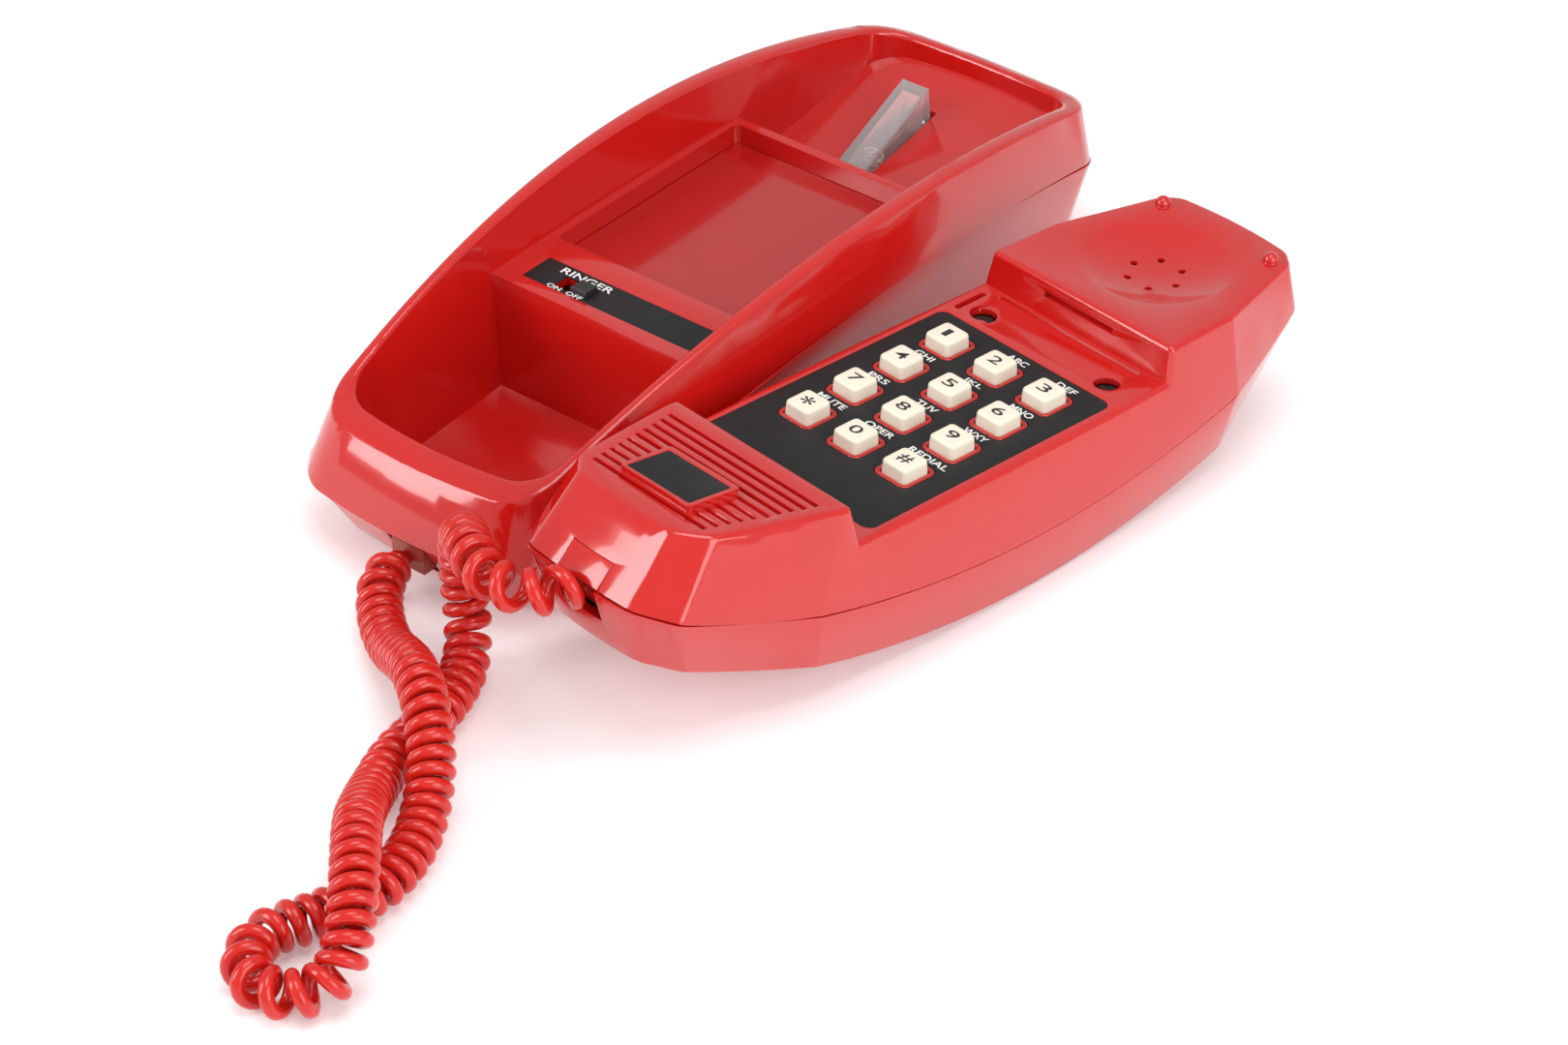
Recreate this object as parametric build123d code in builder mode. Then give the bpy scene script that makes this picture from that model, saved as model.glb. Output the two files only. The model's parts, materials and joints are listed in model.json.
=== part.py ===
"""Slimline telephone: an arched base with a cradle, a curly cord and a handset with the keypad.

Millimetres, +Z up, the table at z = 0. The origin is below the middle of base and handset.
The base's length runs along Y, its cord end towards -Y. The handset lies beside it on +X.
"""

import math
import os

from build123d import *

os.makedirs("parts", exist_ok=True)

# ---------------------------------------------------------------- driving dimensions

BASE_X, BASE_Y = -38.3, 7.36  # middle of the base
WALL = 2.3  # moulded wall thickness
SEAM_GAP = 0.35  # groove between two shells
FOOT_HEIGHT = 1.2

RIM_TOP, RIM_RADIUS = 51.5, 310.0  # side view of the cradle's rim
SEAM_TOP, SEAM_RADIUS = 34.0, 380.0  # side view of the joint between the base's shells
ARCH_Y = 11.5  # the arches' highest point, from the base's middle
BASE_REACH = 125.0  # beyond both ends, for cutting tools

MOUTH_FLOOR = 6.5  # floor of the pocket for the mouthpiece
TROUGH_FOOT_WALL = 1.8  # the pocket's wall where it stands in the lower shell
BAR_FRONT, BAR_TOP, BAR_BACK = -41.5, 36.0, -22.5
RIDGE_BACK = 47.5
EAR_FLOOR_LOW, EAR_FLOOR_HIGH = 22.5, 32.5
CARD_LENGTH, CARD_WIDTH, CARD_Y, CARD_FLOOR = 65.5, 61.0, 12.25, 29.8
CARD_THICKNESS = 1.2

HANDSET_X, HANDSET_Y, HANDSET_Z = BASE_X + 79.0, BASE_Y - 23.2, 37.2  # middle of the key grid
HANDSET_YAW, HANDSET_PITCH = 7.9, 2.4  # degrees: turned clockwise, ear end down
HANDSET_SEAM_LOW, HANDSET_SEAM_RADIUS, HANDSET_SEAM_Y = -20.0, 280.0, 5.0
HANDSET_REACH = 122.0
HANDSET_UNDER_LOW, HANDSET_UNDER_RADIUS = -36.4, 253.0  # side view of the underside
EAR_TOP = 8.3  # ear cap above the keypad deck
MOUTH_TOP_LOW, MOUTH_TOP_HIGH = 8.9, 13.9  # the mouth cap rises towards its end
MOUTH_STEP, MOUTH_END = -47.0, -88.5
EAR_STEP = 46.8
MOUTH_RAMP, EAR_RAMP = 2.0, 1.4

KEY_PITCH_X, KEY_PITCH_Y = 15.0, 14.25
KEY_SIZE, KEY_TOP, KEY_TRAVEL = 7.8, 3.2, 1.5
KEY_NAMES = ("1", "2", "3", "4", "5", "6", "7", "8", "9", "star", "0", "hash")
KEY_HOLE = KEY_SIZE + 1.0
OVERLAY_HOLE = KEY_SIZE + 2.4
OVERLAY_WIDTH, OVERLAY_BOTTOM, OVERLAY_TOP, OVERLAY_THICKNESS = 52.4, -42.8, 31.4, 0.6

DISH_Y, DISH_RADIUS, DISH_DEPTH = 72.8, 18.3, 3.7
SOUND_HOLES, SOUND_CIRCLE, SOUND_RADIUS = 6, 6.5, 0.9
HANDSET_SCREW_X, HANDSET_SCREW_Y = 19.1, 37.2
VENTS, VENT_FIRST, VENT_LAST = 10, -55.2, -81.4
VENT_HALF_FIRST, VENT_HALF_LAST, VENT_WIDTH = 22.9, 17.2, 1.3
BADGE_HALF, BADGE_NEAR, BADGE_FAR = 9.6, -67.0, -79.0

NUB_X, NUB_Y, NUB_RADIUS = 16.6, 93.2, 1.7
STEP_SLOT_Z, STEP_SLOT_LENGTH, STEP_SLOT_HEIGHT = 4.9, 21.0, 1.6
VENT_DEPTH, BADGE_LIFT, BADGE_THICKNESS, MICROPHONE_Y = 1.6, 1.0, 0.5, -70.0
SCREW_SEAT, PILLAR_JOINT, PILLAR_FOOT = 3.8, 6.0, 33.4  # depths below the deck
KEYPAD_BOARD_TOP, KEY_FLANGE = 7.2, 1.2
PEGS = ((-23.8, -34.0), (23.8, -34.0), (-23.8, 26.0), (23.8, 26.0))
PEG_RADIUS, PEG_CORE = 1.6, 0.9

CORD_DIAMETER = 10.6  # outside the curl
NOTCH_X, NOTCH_WIDTH = 0.5, 11.6
PLUG_WIDTH, PLUG_HEIGHT = 9.4, 6.4
HANDSET_JACK_Y, HANDSET_PLUG_FACE = 84.0, 94.0  # from the key grid towards the mouth end
PLUG_RUN = 13.9
CORD_OPENING_WIDTH, CORD_OPENING_HEIGHT = 12.4, 13.0
# the cord's route from the base's plug, from the base's middle and the table
CORD_ROUTE = (
    (0.5, -106.4, 8.2),
    (0.5, -115.0, 8.2),
    (7.5, -123.5, 5.6),
    (18.0, -131.0, 5.9),
    (29.0, -137.5, 12.2),
    (38.5, -144.0, 17.0),
    (47.5, -150.8, 17.0),
    (56.5, -159.0, 11.0),
    (63.0, -169.0, 6.0),
    (68.0, -180.0, 5.4),
    (69.5, -191.0, 5.4),
    (66.0, -202.5, 5.4),
    (60.5, -213.5, 5.4),
    (63.6, -222.0, 5.4),
    (71.3, -226.0, 5.4),
    (79.3, -222.6, 5.4),
    (82.4, -214.7, 6.5),
    (79.0, -206.8, 12.5),
    (71.5, -197.5, 17.0),
    (62.0, -187.0, 17.0),
    (53.5, -176.5, 10.5),
    (47.0, -166.5, 5.7),
    (43.0, -157.0, 5.4),
    (41.8, -146.5, 5.4),
    (39.2, -135.5, 5.4),
    (35.0, -125.5, 5.6),
    (29.5, -118.6, 9.5),
    (26.9, -116.5, 18.5),
    (27.0, -116.8, 28.3),
    (31.0, -120.2, 36.8),
    (39.5, -127.5, 40.2),
    (50.7, -134.0, 40.5),
)

LEVER_X, LEVER_WIDTH = -6.7, 8.0
LEVER_PIVOT_Y, LEVER_PIVOT_Z = 54.0, 18.4
PIN_RADIUS, PIN_CLEARANCE = 1.25, 0.07

LABEL_X, LABEL_Y, LABEL_LENGTH, LABEL_WIDTH, LABEL_THICKNESS = 0.0, -32.8, 52.0, 9.6, 0.4
SWITCH_X, SWITCH_Y, SWITCH_LENGTH, SWITCH_WIDTH = -12.8, -34.0, 9.9, 4.8
LEVER_SLOT_FRONT, LEVER_SLOT_BACK = 50.4, 87.4
LEVER_TIP_Y, LEVER_TIP_Z = 84.8, 37.6
RIM_ROUND = 1.2
BOARD_Z, BOARD_THICKNESS, BOARD_Y, BOARD_WIDTH, BOARD_LENGTH = 12.0, 1.6, 26.0, 52.0, 116.0
BOARD_SCREWS = ((-22.0, -26.0), (22.0, -26.0), (-22.0, 78.0), (22.0, 78.0))
BOARD_SCREW_CORE = 1.2
BASE_SCREWS = ((-29.5, -34.0), (29.5, -34.0), (-29.5, 54.0), (29.5, 54.0))
BOSS_JOINT, BOSS_RADIUS, SCREW_CORE, SCREW_SHANK, SCREW_HEAD = 14.0, 3.0, 1.3, 1.6, 2.7
BALLAST_Y, BALLAST_WIDTH, BALLAST_LENGTH = 20.0, 50.0, 34.0
FEET = ((-21.0, -82.0), (21.0, -82.0), (-22.0, 92.0), (22.0, 92.0))
SPRING_Y, SPRING_RADIUS, SPRING_HEIGHT = 68.0, 1.9, 13.0
RINGER_Y, LINE_JACK_X, LINE_JACK_Y = 78.0, 0.0, -8.0
BASE_JACK_Y, BASE_PLUG_Z, BASE_PLUG_REACH = 99.9, 8.2, 6.5
BASE_JACK_DEPTH, BASE_PLUG_INSERTION = 4.1, 3.0
SHELL_CORNER, CAP_ROUND, BACK_CORNER = 5.0, 1.4, 7.0
PLUG_LIFT = 1.0  # the plug's middle below the deck's level

STUD_SPACING, KEYHOLE_Y, KEYHOLE_RADIUS, KEYHOLE_SLOT = 83.3, 11.65, 4.6, 2.6

# ---------------------------------------------------------------- planes and outlines


def level(z):
    """The base's plan at a height."""
    return Plane((BASE_X, BASE_Y, z))


base_side = Plane((BASE_X, BASE_Y, 0), x_dir=(0, 1, 0), z_dir=(1, 0, 0))

yaw = math.radians(HANDSET_YAW)
pitch = math.radians(HANDSET_PITCH)
deck = Plane(
    (HANDSET_X, HANDSET_Y, HANDSET_Z),
    x_dir=(math.cos(yaw), -math.sin(yaw), 0),
    z_dir=(math.sin(yaw) * math.sin(pitch), math.cos(yaw) * math.sin(pitch), math.cos(pitch)),
)
handset_side = Plane(deck.origin, x_dir=deck.y_dir, z_dir=deck.x_dir)
handset_end = Plane(deck.origin, x_dir=deck.x_dir, z_dir=-deck.y_dir)


def arch(y, peak_y, peak_z, radius):
    """Height of a circular arch at y; a negative radius hangs like a bowl."""
    rise = abs(radius) - math.sqrt(radius * radius - (y - peak_y) ** 2)
    return peak_z - math.copysign(rise, radius)


def boat(z, middle, front, rear, front_y, rear_y, corner):
    """Boat-shaped plan: two bowed sides, two bowed ends and rounded corners."""
    bow = 2.5
    with BuildSketch(level(z)) as outline:
        with BuildLine():
            ThreePointArc((front, -front_y), (middle, 0), (rear, rear_y))
            ThreePointArc((rear, rear_y), (0, rear_y + bow), (-rear, rear_y))
            ThreePointArc((-rear, rear_y), (-middle, 0), (-front, -front_y))
            ThreePointArc((-front, -front_y), (0, -front_y - bow), (front, -front_y))
        make_face()
        fillet(outline.vertices(), corner)
    return outline.sketch


def upper_plan(z, inset=0.0):
    """Plan of the upper shell, which leans inwards going up."""
    middle = 41.0 - 0.17 * (z - SEAM_TOP) - inset
    front = 34.0 - 0.2 * (z - 15.5) - inset
    rear = 34.5 - 0.12 * (z - 20.0) - inset
    front_y = 106.5 - 0.42 * (z - 15.5) - inset
    rear_y = 107.0 - 0.12 * (z - 20.0) - inset
    return boat(z, middle, front, rear, front_y, rear_y, 13.0 - inset)


def lower_plan(z, inset=0.0):
    """Plan of the lower shell, which leans inwards going down."""
    middle = 40.9 - 0.2 * (SEAM_TOP - z) - inset
    front = 33.8 - 0.3 * (15.5 - z) - inset
    rear = 34.3 - 0.2 * (20.0 - z) - inset
    front_y = 106.3 - 0.55 * (15.5 - z) - inset
    rear_y = 106.8 - 0.2 * (20.0 - z) - inset
    return boat(z, middle, front, rear, front_y, rear_y, 13.0 - inset)


def trough_plan(z, outset=0.0):
    """Plan of the cradle's inside, which widens going up."""
    middle = 30.6 + 0.075 * (z - 5.0) + outset
    front = 26.0 + 0.09 * (z - 5.0) + outset
    rear = 26.0 + 0.08 * (z - 5.0) + outset
    front_y = 89.6 + 0.165 * (z - 5.0) + outset
    rear_y = 97.0 + 0.11 * (z - 5.0) + outset
    return boat(z, middle, front, rear, front_y, rear_y, 10.0 + outset)


def under_arch(peak_z, radius, floor):
    """Side view of all that lies between a floor and an arch."""
    end_z = arch(-BASE_REACH, ARCH_Y, peak_z, radius)
    far_z = arch(BASE_REACH, ARCH_Y, peak_z, radius)
    with BuildSketch(base_side) as profile:
        with BuildLine():
            ThreePointArc((-BASE_REACH, end_z), (ARCH_Y, peak_z), (BASE_REACH, far_z))
            Polyline(
                (BASE_REACH, far_z), (BASE_REACH, floor), (-BASE_REACH, floor), (-BASE_REACH, end_z)
            )
        make_face()
    return profile.sketch


def cradle_floor(drop=0.0):
    """Side view of the space above the cradle's stepped floor, lowered by drop."""
    top = 70.0
    slope = (EAR_FLOOR_HIGH - EAR_FLOOR_LOW) / (102.0 - RIDGE_BACK)
    far_floor = EAR_FLOOR_LOW + slope * (BASE_REACH - RIDGE_BACK)
    with BuildSketch(base_side) as profile:
        with BuildLine():
            Polyline(
                (-BASE_REACH, top),
                (-BASE_REACH, MOUTH_FLOOR - drop),
                (BAR_FRONT - 0.8 + drop, MOUTH_FLOOR - drop),
                (BAR_FRONT + drop, BAR_TOP - drop),
                (RIDGE_BACK - drop, BAR_TOP - drop),
                (RIDGE_BACK + 0.4 - drop, EAR_FLOOR_LOW - drop),
                (BASE_REACH, far_floor - drop),
                (BASE_REACH, top),
                close=True,
            )
        make_face()
    return profile.sketch


# ---------------------------------------------------------------- base, upper shell

with BuildPart() as trough:
    loft([trough_plan(4.0), trough_plan(60.0)], ruled=True)
    extrude(cradle_floor(), amount=60, both=True, mode=Mode.INTERSECT)

with BuildPart() as trough_skin:
    loft([trough_plan(1.0, TROUGH_FOOT_WALL), trough_plan(60.0, WALL)], ruled=True)
    extrude(cradle_floor(WALL), amount=60, both=True, mode=Mode.INTERSECT)

with BuildPart() as upper_hollow:
    loft([upper_plan(2.0, WALL), upper_plan(56.0, WALL)], ruled=True)
    extrude(under_arch(RIM_TOP - 3.0, RIM_RADIUS, 0.0), amount=60, both=True, mode=Mode.INTERSECT)
    add(trough_skin.part, mode=Mode.SUBTRACT)


with BuildPart() as below_seam:
    extrude(under_arch(SEAM_TOP + SEAM_GAP, SEAM_RADIUS, -5.0), amount=60, both=True)
    add(trough_skin.part, mode=Mode.SUBTRACT)


def pin_ear(x):
    """Side view of an ear with the hole for the lever's pin."""
    with BuildSketch(base_side.offset(x)) as profile:
        with BuildLine():
            Polyline((49.6, 21.6), (49.6, 16.0), (58.4, 16.0), (58.4, 23.2), close=True)
        make_face()
        with Locations((LEVER_PIVOT_Y, LEVER_PIVOT_Z)):
            Circle(PIN_RADIUS, mode=Mode.SUBTRACT)
    return profile.sketch


def on_rim(edge):
    """True for an edge that runs along the cradle's rim."""
    middle = edge.position_at(0.5)
    rim_height = arch(middle.Y - BASE_Y, ARCH_Y, RIM_TOP, RIM_RADIUS)
    return middle.Z > 25.0 and abs(middle.Z - rim_height) < 0.5


with BuildPart() as base_upper_housing:
    loft([upper_plan(3.0), upper_plan(56.0)], ruled=True)
    extrude(under_arch(RIM_TOP, RIM_RADIUS, 0.0), amount=60, both=True, mode=Mode.INTERSECT)
    add(trough.part, mode=Mode.SUBTRACT)
    fillet([edge for edge in edges() if on_rim(edge)], RIM_ROUND)
    add(upper_hollow.part, mode=Mode.SUBTRACT)
    add(below_seam.part, mode=Mode.SUBTRACT)
    # tray that holds the card panel
    with BuildSketch(level(CARD_FLOOR - WALL)):
        with Locations((0, CARD_Y)):
            RectangleRounded(CARD_WIDTH + 3.6, CARD_LENGTH + 3.6, 3.0)
    extrude(amount=BAR_TOP - CARD_FLOOR)
    with BuildSketch(level(CARD_FLOOR)):
        with Locations((0, CARD_Y)):
            RectangleRounded(CARD_WIDTH, CARD_LENGTH, 1.6)
    extrude(amount=20, mode=Mode.SUBTRACT)
    # seat of the label strip and the switch's slot
    with BuildSketch(level(BAR_TOP - LABEL_THICKNESS)):
        with Locations((LABEL_X, LABEL_Y)):
            Rectangle(LABEL_LENGTH, LABEL_WIDTH)
    extrude(amount=5, mode=Mode.SUBTRACT)
    with BuildSketch(level(BAR_TOP - 6)):
        with Locations((SWITCH_X, SWITCH_Y)):
            Rectangle(SWITCH_LENGTH, SWITCH_WIDTH)
    extrude(amount=10, mode=Mode.SUBTRACT)
    # slot of the hook lever
    with BuildSketch(level(10)):
        with Locations((LEVER_X, (LEVER_SLOT_FRONT + LEVER_SLOT_BACK) / 2)):
            Rectangle(LEVER_WIDTH + 1.2, LEVER_SLOT_BACK - LEVER_SLOT_FRONT)
    extrude(amount=30, mode=Mode.SUBTRACT)
    # ears that carry the lever's pin, under the ear pocket's floor
    extrude(pin_ear(LEVER_X - 6.6), amount=1.6)
    extrude(pin_ear(LEVER_X + 5.0), amount=1.6)
    # bosses that the base's screws bite into
    for spots, boss_top in ((BASE_SCREWS[:2], BAR_TOP - 1.5), (BASE_SCREWS[2:], EAR_FLOOR_LOW)):
        with BuildSketch(level(BOSS_JOINT)):
            with Locations(*spots):
                Circle(BOSS_RADIUS)
        extrude(amount=boss_top - BOSS_JOINT)
    with BuildSketch(level(BOSS_JOINT)):
        with Locations(*BASE_SCREWS):
            Circle(SCREW_CORE)
    extrude(amount=5.0, mode=Mode.SUBTRACT)
base_upper_housing.part.label = "base_upper_housing"
export_step(base_upper_housing.part, "parts/base_upper_housing.step")

# ---------------------------------------------------------------- base, lower shell

with BuildPart() as lower_hollow:
    loft([lower_plan(FOOT_HEIGHT + WALL, WALL), lower_plan(40.0, WALL)], ruled=True)

with BuildPart() as base_lower_housing:
    loft([lower_plan(FOOT_HEIGHT), lower_plan(40.0)], ruled=True)
    floor_edges = edges().group_by(Axis.Z)[0]
    fillet(floor_edges, 4.0)
    add(lower_hollow.part, mode=Mode.SUBTRACT)
    extrude(under_arch(SEAM_TOP, SEAM_RADIUS, -5.0), amount=60, both=True, mode=Mode.INTERSECT)
    # notch for the handset cord, open towards the seam
    with BuildSketch(level(3.6)):
        with Locations((NOTCH_X, -106.0)):
            Rectangle(NOTCH_WIDTH, 18.0)
    extrude(amount=20, mode=Mode.SUBTRACT)
    # posts under the circuit board and pillars for the base's screws
    with BuildSketch(level(FOOT_HEIGHT + WALL - 0.5)):
        with Locations(*BOARD_SCREWS):
            Circle(3.0)
    extrude(amount=BOARD_Z - FOOT_HEIGHT - WALL + 0.5)
    with BuildSketch(level(FOOT_HEIGHT + WALL - 0.5)):
        with Locations(*BASE_SCREWS):
            Circle(BOSS_RADIUS)
    extrude(amount=BOSS_JOINT - FOOT_HEIGHT - WALL + 0.5)
    with BuildSketch(level(BOARD_Z - 6.0)):
        with Locations(*BOARD_SCREWS):
            Circle(BOARD_SCREW_CORE)
    extrude(amount=8.0, mode=Mode.SUBTRACT)
    with BuildSketch(level(0.0)):
        with Locations(*BASE_SCREWS):
            Circle(SCREW_SHANK)
    extrude(amount=BOSS_JOINT + 1.0, mode=Mode.SUBTRACT)
    with BuildSketch(level(0.0)):
        with Locations(*BASE_SCREWS):
            Circle(SCREW_HEAD + 0.4)
    extrude(amount=FOOT_HEIGHT + 2.4, mode=Mode.SUBTRACT)
    # two keyholes for a wall plate's studs, and the mouth of the line jack
    with BuildSketch(level(0.0)):
        with Locations((0, KEYHOLE_Y - STUD_SPACING / 2), (0, KEYHOLE_Y + STUD_SPACING / 2)):
            Circle(KEYHOLE_RADIUS)
            with Locations((0, 6.0)):
                SlotCenterToCenter(6.0, 2 * KEYHOLE_SLOT, rotation=90)
    extrude(amount=FOOT_HEIGHT + WALL + 1.0, mode=Mode.SUBTRACT)
    with BuildSketch(level(0.0)):
        with Locations((LINE_JACK_X, LINE_JACK_Y)):
            Rectangle(12.4, 10.4)
    extrude(amount=FOOT_HEIGHT + WALL + 1.0, mode=Mode.SUBTRACT)
    # sound holes under the ringer
    with BuildSketch(level(0.0)):
        with Locations((0, RINGER_Y)):
            with PolarLocations(9.0, 8):
                Circle(1.4)
    extrude(amount=FOOT_HEIGHT + WALL + 1.0, mode=Mode.SUBTRACT)
base_lower_housing.part.label = "base_lower_housing"
export_step(base_lower_housing.part, "parts/base_lower_housing.step")

# ---------------------------------------------------------------- base, fittings

with BuildPart() as card_panel:
    with BuildSketch(level(CARD_FLOOR)):
        with Locations((0, CARD_Y)):
            RectangleRounded(CARD_WIDTH - 0.3, CARD_LENGTH - 0.3, 1.5)
    extrude(amount=CARD_THICKNESS)
    fillet(card_panel.faces().sort_by(Axis.Z)[-1].edges(), 0.4)
card_panel.part.label = "card_panel"
export_step(card_panel.part, "parts/card_panel.step")

with BuildPart() as ringer_label_strip:
    with BuildSketch(level(BAR_TOP - LABEL_THICKNESS)):
        with Locations((LABEL_X, LABEL_Y)):
            Rectangle(LABEL_LENGTH - 0.2, LABEL_WIDTH - 0.2)
        with Locations((SWITCH_X, SWITCH_Y)):
            Rectangle(SWITCH_LENGTH, SWITCH_WIDTH, mode=Mode.SUBTRACT)
    extrude(amount=LABEL_THICKNESS)
ringer_label_strip.part.label = "ringer_label_strip"
export_step(ringer_label_strip.part, "parts/ringer_label_strip.step")

bar_underside = BAR_TOP - WALL
knob_length = 4.6
knob_x = SWITCH_X + (SWITCH_LENGTH - knob_length) / 2 - 0.3
with BuildPart() as ringer_switch_body:
    with BuildSketch(level(bar_underside - 7.0)):
        with Locations((SWITCH_X, SWITCH_Y)):
            Rectangle(20.0, 8.0)
    extrude(amount=7.0)
    with BuildSketch(level(bar_underside - 2.4)):
        with Locations((SWITCH_X, SWITCH_Y)):
            Rectangle(15.0, 6.2)
    extrude(amount=4.0, mode=Mode.SUBTRACT)
ringer_switch_body.part.label = "ringer_switch_body"
export_step(ringer_switch_body.part, "parts/ringer_switch_body.step")

with BuildPart() as ringer_switch_knob:
    with BuildSketch(level(bar_underside - 2.1)):
        with Locations((knob_x, SWITCH_Y)):
            Rectangle(8.6, 5.6)
    extrude(amount=1.8)
    with BuildSketch(level(bar_underside - 0.4)):
        with Locations((knob_x, SWITCH_Y)):
            Rectangle(knob_length, SWITCH_WIDTH - 0.6)
    extrude(amount=WALL + 1.9)
    fillet(ringer_switch_knob.faces().sort_by(Axis.Z)[-1].edges(), 0.4)
ringer_switch_knob.part.label = "ringer_switch_knob"
export_step(ringer_switch_knob.part, "parts/ringer_switch_knob.step")

# the lever: a clear wedge, hollow below, that the handset's ear cap presses down
lever_side = base_side.offset(LEVER_X)
with BuildPart() as hook_lever:
    with BuildSketch(lever_side):
        with BuildLine():
            Polyline(
                (LEVER_PIVOT_Y - 2.2, LEVER_PIVOT_Z + 1.8),
                (LEVER_PIVOT_Y + 0.5, 24.0),
                (LEVER_TIP_Y, LEVER_TIP_Z),
                (LEVER_TIP_Y + 0.9, 27.5),
                (LEVER_TIP_Y - 1.5, 24.6),
                (LEVER_PIVOT_Y + 2.6, LEVER_PIVOT_Z - 1.4),
                close=True,
            )
        make_face()
        with Locations((LEVER_PIVOT_Y, LEVER_PIVOT_Z)):
            Circle(3.0)
    extrude(amount=LEVER_WIDTH / 2, both=True)
    with BuildSketch(lever_side):
        with BuildLine():
            Polyline(
                (LEVER_PIVOT_Y + 5.0, 17.0),
                (LEVER_PIVOT_Y + 5.0, 24.2),
                (LEVER_TIP_Y - 1.5, LEVER_TIP_Z - 2.4),
                (LEVER_TIP_Y - 1.2, 22.0),
                close=True,
            )
        make_face()
    extrude(amount=LEVER_WIDTH / 2 - 1.4, both=True, mode=Mode.SUBTRACT)
    with BuildSketch(lever_side):
        with Locations((LEVER_PIVOT_Y, LEVER_PIVOT_Z)):
            Circle(PIN_RADIUS + PIN_CLEARANCE)
    extrude(amount=LEVER_WIDTH, both=True, mode=Mode.SUBTRACT)
hook_lever.part.label = "hook_lever"
export_step(hook_lever.part, "parts/hook_lever.step")

with BuildPart() as hook_lever_pin:
    with BuildSketch(lever_side):
        with Locations((LEVER_PIVOT_Y, LEVER_PIVOT_Z)):
            Circle(PIN_RADIUS)
    extrude(amount=7.0, both=True)
hook_lever_pin.part.label = "hook_lever_pin"
export_step(hook_lever_pin.part, "parts/hook_lever_pin.step")

spring_plane = Plane((BASE_X + LEVER_X, BASE_Y + SPRING_Y, BOARD_Z + BOARD_THICKNESS + 0.3))
with BuildPart() as hook_return_spring:
    with BuildLine(spring_plane):
        coil = Helix(pitch=2.2, height=SPRING_HEIGHT, radius=SPRING_RADIUS)
    with BuildSketch(Plane(origin=coil @ 0, z_dir=coil % 0)):
        Circle(0.3)
    sweep(path=coil)
hook_return_spring.part.label = "hook_return_spring"
export_step(hook_return_spring.part, "parts/hook_return_spring.step")

with BuildPart() as base_circuit_board:
    with BuildSketch(level(BOARD_Z)):
        with Locations((0, BOARD_Y)):
            RectangleRounded(BOARD_WIDTH, BOARD_LENGTH, 2.0)
        with Locations(*BOARD_SCREWS):
            Circle(1.6, mode=Mode.SUBTRACT)
    extrude(amount=BOARD_THICKNESS)
base_circuit_board.part.label = "base_circuit_board"
export_step(base_circuit_board.part, "parts/base_circuit_board.step")

board_top = BOARD_Z + BOARD_THICKNESS
with BuildPart() as hook_switch_body:
    with BuildSketch(level(board_top)):
        with Locations((LEVER_X, LEVER_TIP_Y + 7.4)):
            Rectangle(12.0, 9.0)
    extrude(amount=7.5)
    chamfer(hook_switch_body.edges().filter_by(Axis.Z), 0.8)
    with BuildSketch(level(board_top)):
        with Locations((LEVER_X, LEVER_TIP_Y + 1.0)):
            Rectangle(6.0, 5.0)
    extrude(amount=1.0)
hook_switch_body.part.label = "hook_switch_body"
export_step(hook_switch_body.part, "parts/hook_switch_body.step")

with BuildPart() as board_components:
    with BuildSketch(level(board_top)):
        with Locations((18.0, 6.0), (18.0, 26.0)):
            Rectangle(14.0, 16.0)
        with Locations((2.0, 2.0)):
            Rectangle(10.0, 20.0)
    extrude(amount=6.0)
    with BuildSketch(level(board_top)):
        with Locations((-18.0, 22.0), (-18.0, 8.0), (4.0, 28.0)):
            Circle(4.0)
    extrude(amount=9.0)
board_components.part.label = "board_components"
export_step(board_components.part, "parts/board_components.step")

with BuildPart() as board_screws:
    with BuildSketch(level(BOARD_Z - 5.0)):
        with Locations(*BOARD_SCREWS):
            Circle(BOARD_SCREW_CORE)
    extrude(amount=5.0 + BOARD_THICKNESS)
    with BuildSketch(level(board_top)):
        with Locations(*BOARD_SCREWS):
            Circle(2.5)
    extrude(amount=1.6)
board_screws.part.label = "board_screws"
export_step(board_screws.part, "parts/board_screws.step")

with BuildPart() as base_screws:
    with BuildSketch(level(FOOT_HEIGHT + 0.6)):
        with Locations(*BASE_SCREWS):
            Circle(SCREW_HEAD)
    extrude(amount=1.8)
    with BuildSketch(level(FOOT_HEIGHT + 2.4)):
        with Locations(*BASE_SCREWS):
            Circle(SCREW_CORE)
    extrude(amount=BOSS_JOINT + 4.0 - FOOT_HEIGHT - 2.4)
base_screws.part.label = "base_screws"
export_step(base_screws.part, "parts/base_screws.step")

with BuildPart() as base_feet:
    with BuildSketch(level(0)):
        with Locations(*FEET):
            Circle(6.0)
    extrude(amount=FOOT_HEIGHT)
base_feet.part.label = "base_feet"
export_step(base_feet.part, "parts/base_feet.step")

floor_top = FOOT_HEIGHT + WALL
with BuildPart() as ballast_plate:
    with BuildSketch(level(floor_top)):
        with Locations((0, BALLAST_Y)):
            RectangleRounded(BALLAST_WIDTH, BALLAST_LENGTH, 3.0)
    extrude(amount=3.0)
ballast_plate.part.label = "ballast_plate"
export_step(ballast_plate.part, "parts/ballast_plate.step")

with BuildPart() as ringer_sounder:
    with BuildSketch(level(floor_top)):
        with Locations((0, RINGER_Y)):
            Circle(13.0)
    extrude(amount=5.5)
    fillet(ringer_sounder.faces().sort_by(Axis.Z)[-1].edges(), 1.0)
    with BuildSketch(level(floor_top)):
        with Locations((0, RINGER_Y)):
            Circle(11.4)
    extrude(amount=3.0, mode=Mode.SUBTRACT)
ringer_sounder.part.label = "ringer_sounder"
export_step(ringer_sounder.part, "parts/ringer_sounder.step")

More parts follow.
